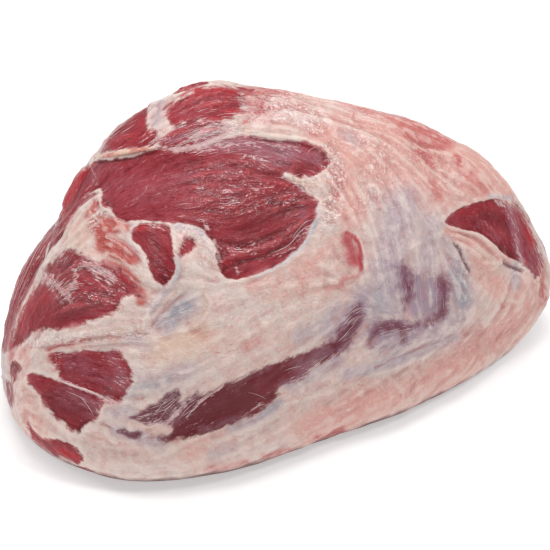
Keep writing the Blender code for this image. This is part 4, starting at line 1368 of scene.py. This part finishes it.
# painted glints: white specks on wrinkled fat, streaks along the fibres on wrinkled lean
fat_glint = ramp(total((mottle, 1.0, 0.5), (threads, 0.14)), 0.04, 0.12, 0.8)
lean_glint = ramp(total(threads, (mottle, 1.4, 0.5)), 0.36, 0.64, 0.85)
glint_mask = node("ShaderNodeMix", {0: lean_mask, 2: fat_glint, 3: lean_glint}).outputs[0]

colour = mixed(veil_mask, colour, mixed(ramp(speck, 0.4, 0.6), VEIL_PINK, VEIL_WHITE))
colour = mixed(times(ramp(lean_inside, -2.0, -0.5), off_muscle, 0.22), colour, RIM_WHITE)
colour = mixed(times(ridge, off_muscle), colour, FAT_RIDGE_LIGHT)
colour = mixed(lit_wet_ridge, colour, LEAN_RIDGE_LIGHT)
# painted shade in hollows
colour = mixed(ramp(hollowness, 0.03, 0.4, 0.5), colour, mixed(muscle, FAT_HOLLOW_SHADE, LEAN_HOLLOW_SHADE))
# painted glints laid on where the surface is wrinkled
glints = mixed(lean_mask, FAT_GLINT, LEAN_GLINT)
colour = mixed(times(glint_mask, ramp(wrinkling, 0.4, 1.0)), colour, glints)
count_nodes("the veils and flecks")

# %% [markdown]
# ## Rose strokes, creases and the foot
#
# These cross fat and silvery skin alike, so they are laid on last. Creases could be left to the
# shadows, but the light is soft and fills them, and so they are darkened. The foot of the meat is
# darkened by its height above the floor for the same reason.

# %% Rose strokes, painted shade in creases and gashes, and the shadow at the foot
ROSE_RED, GASH_SHADOW_GREY, FOOT_SHADOW = shade(180, 60, 70), shade(116, 86, 98), shade(120, 52, 50)
CREASE_SHADE, UNDERSIDE_SHADE = shade(118, 66, 68), shade(84, 42, 44)

rose = ramp(total(field("rose"), (blot, 0.6, 0.5)), 0.05, 1.15, 0.9)
creasing = field("crease")
gash_shadow = ramp(total(field("gash_shadow"), (middle, 0.5, 0.5), (mottle, 3.0, 0.5)), 0.3, 1.2, 0.7)
height_above_floor = node("ShaderNodeSeparateXYZ", (place,)).outputs["Z"]

colour = mixed(times(rose, off_muscle), colour, ROSE_RED)
# painted shade in creases, and darker painted shade under the meat near the floor
colour = mixed(ramp(total(creasing, (ragged, 0.3)), 0.4, 1.2, 0.6), colour, CREASE_SHADE)
colour = mixed(ramp(creasing, 0.9, 1.7, 0.8), colour, UNDERSIDE_SHADE)
# painted shade in the gashes
colour = mixed(times(gash_shadow, ramp(field("gash_shadow"), 0.1, 0.4)), colour, GASH_SHADOW_GREY)
colour = mixed(ramp(height_above_floor, 0.0034, 0.0008, 0.75), colour, FOOT_SHADOW)
count_nodes("the colours")

# %% [markdown]
# ## Gloss and fine relief
#
# Moist lean shines more than fat. The bump is a height in metres: fibres on the lean, softer
# wrinkles on the fat, threads of skin, and a step at the edge of each patch. A clear coat with a
# bump of its own stands for the wet film.

# %% Gloss, relief and the shader
DRY_ROUGHNESS, WET_ROUGHNESS = 0.42, 0.24
FIBRE_LOW, FIBRE_HIGH = 0.00012, 0.00045
GRAIN_LOW, GRAIN_HIGH = 0.0004, 0.0007
BLOT_HEIGHT, EDGE_HEIGHT = 0.0011, 0.00022

wet = ramp(wrinkling, 0.1, 1.0)
rough = total(span(wet, 0.0, 1.0, DRY_ROUGHNESS, WET_ROUGHNESS), (patch, 0.25, 0.5))
height = total(
    times(threads, span(wet, 0.0, 1.0, FIBRE_LOW, FIBRE_HIGH)),
    times(mottle, span(wet, 0.0, 1.0, GRAIN_LOW, GRAIN_HIGH)),
    (blot, BLOT_HEIGHT), (lean_mask, -EDGE_HEIGHT), (veil_mask, EDGE_HEIGHT))
film_height = total((middle, 0.0009), (fine, 0.00016), (blot, 0.0012), (mottle, 0.0005))
shader = node("ShaderNodeBsdfPrincipled", {
    "Base Color": colour, "Roughness": rough, "Normal": bumped(height), "Subsurface Weight": 0.12,
    "Subsurface Radius": (1.0, 0.35, 0.25), "Subsurface Scale": 0.003, "IOR": 1.38,
    "Specular IOR Level": 0.2, "Coat Roughness": 0.12, "Coat Normal": bumped(film_height),
    "Coat Weight": total((wet, 0.66, -0.1)), "Coat IOR": 1.58,
})
node("ShaderNodeOutputMaterial", {"Surface": shader.outputs[0]})
dress(meat, flesh_material)
count_nodes("the gloss and relief")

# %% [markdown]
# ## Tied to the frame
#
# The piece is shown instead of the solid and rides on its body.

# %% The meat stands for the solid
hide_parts("veal_topside")
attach(meat, "root")
triangles = sum(len(face.vertices) - 2 for face in meat.data.polygons)
print(f"{meat.name} has {triangles} triangles")

# %% [markdown]
# ## Threads of sinew
#
# Fine white threads stand on the surface, so they are curves with a round bevel. Some are drawn,
# and many more grow from seeded places and follow the fibres. Every thread is laid down on the
# finished skin, so it rests there from any side.

# %% Find the skin from a view
ground = BVHTree.FromPolygons(
    [Vector(corner) for corner in placed], [tuple(face.vertices) for face in meat.data.polygons])
tree_of_places = KDTree(len(placed))
for index, corner in enumerate(placed):
    tree_of_places.insert(corner, index)
tree_of_places.balance()


def on_skin(x, y, view="photo"):
    """The place and normal of the skin seen at this point of a view."""
    right, up = (Vector(axis) for axis in AXES[view])
    if view == "photo":
        scale = LENS / SENSOR * PHOTO_SIDE
        start = EYE
        along = right * ((x - PHOTO_SIDE / 2) / scale) - up * ((y - PHOTO_SIDE / 2) / scale) - TOWARDS
    else:
        along = -right.cross(up)
        start = right * (x / 1000) + up * (y / 1000) - along
    spot, normal, _, _ = ground.ray_cast(start, along.normalized())
    return spot, normal


def follow(spot, length, step=0.0011):
    """Places along the fibres, from a spot on the skin."""
    path = [spot]
    for _ in range(int(length / step)):
        _, index, _ = tree_of_places.find(path[-1])
        spot, _, _, _ = ground.find_nearest(path[-1] + Vector(comb[index]) * step)
        path.append(spot)
    return path


def lay(places, lift):
    """Lifts a path off the skin by a little."""
    lifted = []
    for spot in places:
        spot, normal, _, _ = ground.find_nearest(spot)
        lifted.append(spot + normal * lift)
    return lifted


def bevelled(name, kind, lines, **settings):
    """A smooth mesh of round lines, each given as its places and a radius in millimetres for each."""
    drawing = bpy.data.curves.new(name, "CURVE")
    drawing.dimensions = "3D"
    drawing.bevel_depth = 0.001
    for setting, value in settings.items():
        setattr(drawing, setting, value)
    for spots, radii in lines:
        spline = drawing.splines.new(kind)
        spline.points.add(len(spots) - 1)
        spline.use_endpoint_u = kind == "NURBS"
        for point, spot, radius in zip(spline.points, spots, radii):
            point.co = (*spot, 1)
            point.radius = radius
    piece = bpy.data.objects.new(name, drawing)
    bpy.context.scene.collection.objects.link(piece)
    select_only(piece)
    bpy.ops.object.convert(target="MESH")
    piece.data.shade_smooth()
    return piece


print("the middle of the photograph meets the skin at", on_skin(PHOTO_SIDE / 2, PHOTO_SIDE / 2)[0])

# %% Threads that are drawn, and fields where more grow
THREADS = [
    # points, thickness
    ([(56, 379), (64, 382), (74, 386), (84, 389), (94, 393), (104, 398)], 0.42),
    ([(80, 396), (88, 406), (94, 416)], 0.14), ([(66, 391), (78, 396), (88, 402)], 0.12),
    ([(309, 225), (300, 232), (290, 244), (280, 250), (271, 253)], 0.16),
    ([(315, 219), (306, 222), (298, 230), (292, 238)], 0.12),
    ([(497, 200), (506, 204), (514, 212)], 0.14),
    ([(492, 199), (504, 199), (514, 205), (522, 214)], 0.16),
    ([(506, 197), (517, 204), (526, 214), (532, 226)], 0.12),
    ([(512, 200), (522, 210), (530, 222), (535, 236)], 0.14),
    ([(518, 214), (526, 226), (532, 240)], 0.10),
    ([(186, 417), (194, 409), (202, 401), (214, 393)], 0.20),
    ([(178, 420), (186, 410), (196, 401)], 0.12), ([(158, 421), (168, 408), (180, 396)], 0.12),
    ([(152, 418), (162, 405), (174, 394)], 0.10), ([(284, 371), (292, 368), (302, 366)], 0.10),
    ([(248, 392), (258, 395), (266, 399)], 0.08), ([(166, 163), (163, 168), (161, 171)], 0.06),
    ([(156, 173), (152, 181)], 0.06), ([(148, 184), (146, 190), (141, 196)], 0.06),
    ([(90, 164), (93, 172), (96, 178)], 0.09), ([(258, 161), (266, 166), (274, 171)], 0.12),
    ([(300, 174), (290, 177), (284, 177)], 0.16), ([(306, 183), (296, 181), (288, 179)], 0.14),
    ([(316, 196), (306, 192), (300, 187)], 0.14), ([(318, 146), (310, 150), (306, 156)], 0.10),
    ([(148, 104), (148, 116), (147, 128)], 0.22), ([(316, 104), (336, 110), (356, 118)], 0.10),
    ([(330, 102), (352, 110), (376, 120)], 0.10), ([(100, 197), (86, 216), (70, 236)], 0.10),
    ([(94, 200), (78, 220), (60, 240), (46, 256)], 0.11),
    ([(86, 204), (68, 224), (50, 244), (36, 266)], 0.11),
    ([(74, 208), (58, 226), (42, 246), (30, 268)], 0.10),
    ([(330, 400), (356, 392), (380, 384), (396, 380)], 0.10),
    ([(386, 372), (396, 382), (404, 396), (402, 408)], 0.14),
    ([(410, 374), (414, 384), (410, 396)], 0.10),
    ([(420, 392), (440, 384), (462, 372), (480, 360)], 0.10),
    ([(424, 400), (448, 390), (470, 378)], 0.08), ([(390, 362), (420, 350), (450, 339)], 0.12),
    ([(300, 412), (324, 404), (350, 396)], 0.09), ([(310, 424), (340, 414), (372, 402)], 0.08),
    ([(240, 452), (270, 446), (300, 436)], 0.08), ([(430, 360), (456, 350), (480, 336)], 0.09),
    ([(64, 214), (48, 234), (34, 256), (24, 280)], 0.10),
    ([(52, 226), (38, 248), (26, 272), (16, 300)], 0.10),
    ([(34, 262), (24, 284), (15, 308), (9, 334)], 0.10), ([(28, 262), (18, 288), (10, 314)], 0.09),
]
WISPS = [
    # corners of a field, how many, length, thickness, view
    ([(160, 150), (200, 120), (250, 105), (252, 132), (200, 150)], 60, 9, 0.13, "photo"),
    ([(180, 112), (240, 90), (246, 106), (190, 122)], 16, 7, 0.10, "photo"),
    ([(98, 152), (130, 112), (146, 106), (128, 126), (108, 146)], 16, 9, 0.11, "photo"),
    ([(200, 146), (252, 138), (300, 146), (280, 156), (214, 160)], 22, 7, 0.09, "photo"),
    ([(96, 190), (60, 222), (20, 290), (6, 340), (24, 310), (52, 256), (84, 214)], 26, 14, 0.10, "photo"),
    ([(40, 270), (52, 278), (76, 284), (70, 296), (50, 290)], 34, 6, 0.14, "photo"),
    ([(74, 266), (92, 262), (112, 274), (104, 280), (80, 274)], 24, 6, 0.15, "photo"),
    ([(130, 418), (160, 396), (190, 386), (196, 400), (172, 428)], 30, 8, 0.10, "photo"),
    ([(280, 384), (310, 366), (336, 352), (330, 370), (290, 400)], 26, 7, 0.10, "photo"),
    ([(330, 330), (356, 300), (366, 300), (360, 330), (340, 350)], 30, 8, 0.10, "photo"),
    ([(372, 340), (400, 318), (412, 330), (384, 346)], 16, 6, 0.10, "photo"),
    ([(396, 262), (448, 276), (446, 320), (404, 316)], 30, 7, 0.08, "photo"),
    ([(258, 96), (320, 108), (330, 132), (262, 128)], 30, 6, 0.09, "photo"),
    ([(326, 150), (344, 160), (340, 220), (322, 214)], 26, 6, 0.10, "photo"),
    ([(280, 172), (318, 168), (332, 184), (304, 192)], 22, 6, 0.12, "photo"),
    ([(20, 342), (140, 328), (150, 340), (30, 356)], 24, 10, 0.12, "photo"),
    ([(520, 214), (545, 240), (546, 300), (536, 290), (530, 240)], 14, 9, 0.10, "photo"),
    ([(-66, 24), (-20, 30), (-24, 110), (-60, 110)], 34, 8, 0.10, "blunt"),
    ([(4, 140), (60, 140), (64, 112), (20, 126)], 22, 7, 0.10, "back"),
    ([(-100, 30), (0, 36), (-10, 48), (-90, 44)], 20, 7, 0.09, "back"),
    ([(-70, 62), (10, 54), (0, 72), (-60, 76)], 20, 7, 0.09, "back"),
]
print("threads drawn:", len(THREADS), "and fields of more:", len(WISPS))

# %% Grow the threads
DRAWN_LIFT, GROWN_LIFT = 0.00005, 0.00003
LOWEST = 0.004  # no thread grows nearer to the floor

paths = []
for points, thickness in THREADS:
    spots = [on_skin(x, y)[0] for x, y in curve(points, steps=5)]
    paths.append((lay([spot for spot in spots if spot], DRAWN_LIFT), thickness))
rng = np.random.default_rng(11)
for corners, count, length, thickness, view in WISPS:
    corners = np.array(corners, float)
    outline = np.vstack([corners, corners[:1]])
    low, high = corners.min(axis=0), corners.max(axis=0)
    grown = 0
    for _ in range(count * 4):
        x, y = low + rng.random(2) * (high - low)
        if grown == count or not within(np.array([x]), np.array([y]), outline)[0]:
            continue
        spot, _ = on_skin(x, y, view)
        if spot and spot.z > LOWEST:
            path = follow(spot, length / 1000 * rng.uniform(0.5, 1.3))
            paths.append((lay(path, GROWN_LIFT), thickness * rng.uniform(0.6, 1.3)))
            grown += 1
print("threads:", len(paths))


# %% One bevelled curve for all threads
def tapered(thickness, count):
    """Radii along a thread, down to a quarter at both ends."""
    nearest_end = [min(index, count - 1 - index) / (count / 2) for index in range(count)]
    return [thickness * (0.25 + 0.75 * min(1, 2 * end)) for end in nearest_end]


sinew = bevelled("sinew_threads", "POLY", [
    (path, tapered(thickness, len(path))) for path, thickness in paths if len(path) > 2
], bevel_resolution=1)
dress(sinew, plain_material("pale_sinew", {
    "Base Color": shade(226, 194, 192), "Roughness": 0.3, "Subsurface Weight": 0.2,
    "Subsurface Radius": (1.0, 0.4, 0.3), "Subsurface Scale": 0.002,
}))
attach(sinew, "root")
print("faces of the threads:", len(sinew.data.polygons))

# %% [markdown]
# ## The rolled lip
#
# Above the great face a strip of skin has rolled back on itself. It is a thick curve that tapers
# at both ends, cream and salmon in soft patches.

# %% Roll the lip
LIP = [
    (95, 157), (103, 157), (112, 155.5), (122, 153.5), (131, 152), (140, 150.5), (149, 149), (157, 148),
]
LIP_THICKNESS = [0.4, 1.0, 1.3, 1.5, 1.6, 1.3, 0.8, 0.3]
LIP_LIFT = 0.0004

seats = [on_skin(x, y) for x, y in LIP]
seats = [spot + normal * LIP_LIFT for spot, normal in seats]
lip = bevelled("rolled_lip", "NURBS", [(seats, LIP_THICKNESS)], bevel_resolution=4, resolution_u=8)
print("faces of the lip:", len(lip.data.polygons))

# %% Colour the lip
LIP_CREAM, LIP_SALMON, LIP_PALE = shade(224, 186, 164), shade(208, 122, 112), shade(240, 216, 204)

lip_material = blank_material("lip_fat")
tree = lip_material.node_tree
place = node("ShaderNodeTexCoord").outputs["Object"]
lip_grain = grain(500, 3.0, place)
lip_colour = mixed(ramp(grain(90, 1.0, place), 0.44, 0.56), LIP_CREAM, LIP_SALMON)
lip_colour = mixed(ramp(lip_grain, 0.5, 0.7, 0.5), lip_colour, LIP_PALE)
shader = node("ShaderNodeBsdfPrincipled", {
    "Base Color": lip_colour, "Roughness": 0.4, "Normal": bumped(lip_grain, 0.0004),
    "Coat Weight": 0.3, "Coat Roughness": 0.15,
})
node("ShaderNodeOutputMaterial", {"Surface": shader.outputs[0]})
dress(lip, lip_material)
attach(lip, "root")
count_nodes("the lip")

# %% [markdown]
# ## Floor and light
#
# The meat lies on plain white, under one large soft light from above and a bright room. The floor
# glows a little, as a light table does, and so the shadow stays faint.

# %% The floor
bpy.ops.mesh.primitive_plane_add(size=6, location=(0, 0, -0.0002))
floor = bpy.context.object
floor.name = "studio_floor"
dress(floor, plain_material("white_floor", {
    "Base Color": (0.72, 0.72, 0.72, 1), "Roughness": 0.9, "Specular IOR Level": 0.0,
    "Emission Color": (1, 1, 1, 1), "Emission Strength": 0.42,
}))
floor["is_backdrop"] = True
print("the floor lies at", round(floor.location.z, 4))

# %% The lights
bpy.ops.object.light_add(type="AREA", location=(0.0, 0.12, 1.15))
softbox = bpy.context.object
softbox.name = "softbox"
softbox.data.shape = "SQUARE"
softbox.data.size = 0.7
softbox.data.energy = 8.3
softbox.rotation_euler = (Vector((0, 0, 0.05)) - softbox.location).to_track_quat("-Z", "Y").to_euler()

LAMPS = [
    # name, degrees round, degrees up, side, energy
    ("lamp_right", 44, 56, 0.18, 2.8), ("lamp_back_right", 126, 38, 0.16, 0.8),
    ("lamp_back_left", -125, 34, 0.22, 1.8), ("lamp_front_left", -60, 16, 0.60, 1.8),
]
LAMP_DISTANCE = 1.15
for name, turn, rise_angle, side, energy in LAMPS:
    turn, rise_angle = math.radians(turn), math.radians(rise_angle)
    spot = LAMP_DISTANCE * Vector((
        math.sin(turn) * math.cos(rise_angle),
        -math.cos(turn) * math.cos(rise_angle),
        math.sin(rise_angle),
    ))
    bpy.ops.object.light_add(type="AREA", location=spot, rotation=spot.to_track_quat("Z", "Y").to_euler())
    lamp = bpy.context.object
    lamp.name = name
    lamp.data.size = side
    lamp.data.energy = energy

room = bpy.data.worlds.new("bright_room")
room.use_nodes = True
room.node_tree.nodes["Background"].inputs["Color"].default_value = (1, 1, 1, 1)
room.node_tree.nodes["Background"].inputs["Strength"].default_value = 0.25
bpy.context.scene.world = room
bpy.context.scene.view_settings.view_transform = "Standard"

# %% [markdown]
# ## The sizes
#
# The sizes of the box round the solid and of the box round the dressed meat are printed.

# %% Print the sizes of both boxes
shown_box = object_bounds()
boxes = {"solid": [list(corner) for corner in solid_box], "shown": [list(corner) for corner in shown_box]}
for name, (low, high) in boxes.items():
    print(name, [round(1000 * (b - a), 1) for a, b in zip(low, high)], "mm")
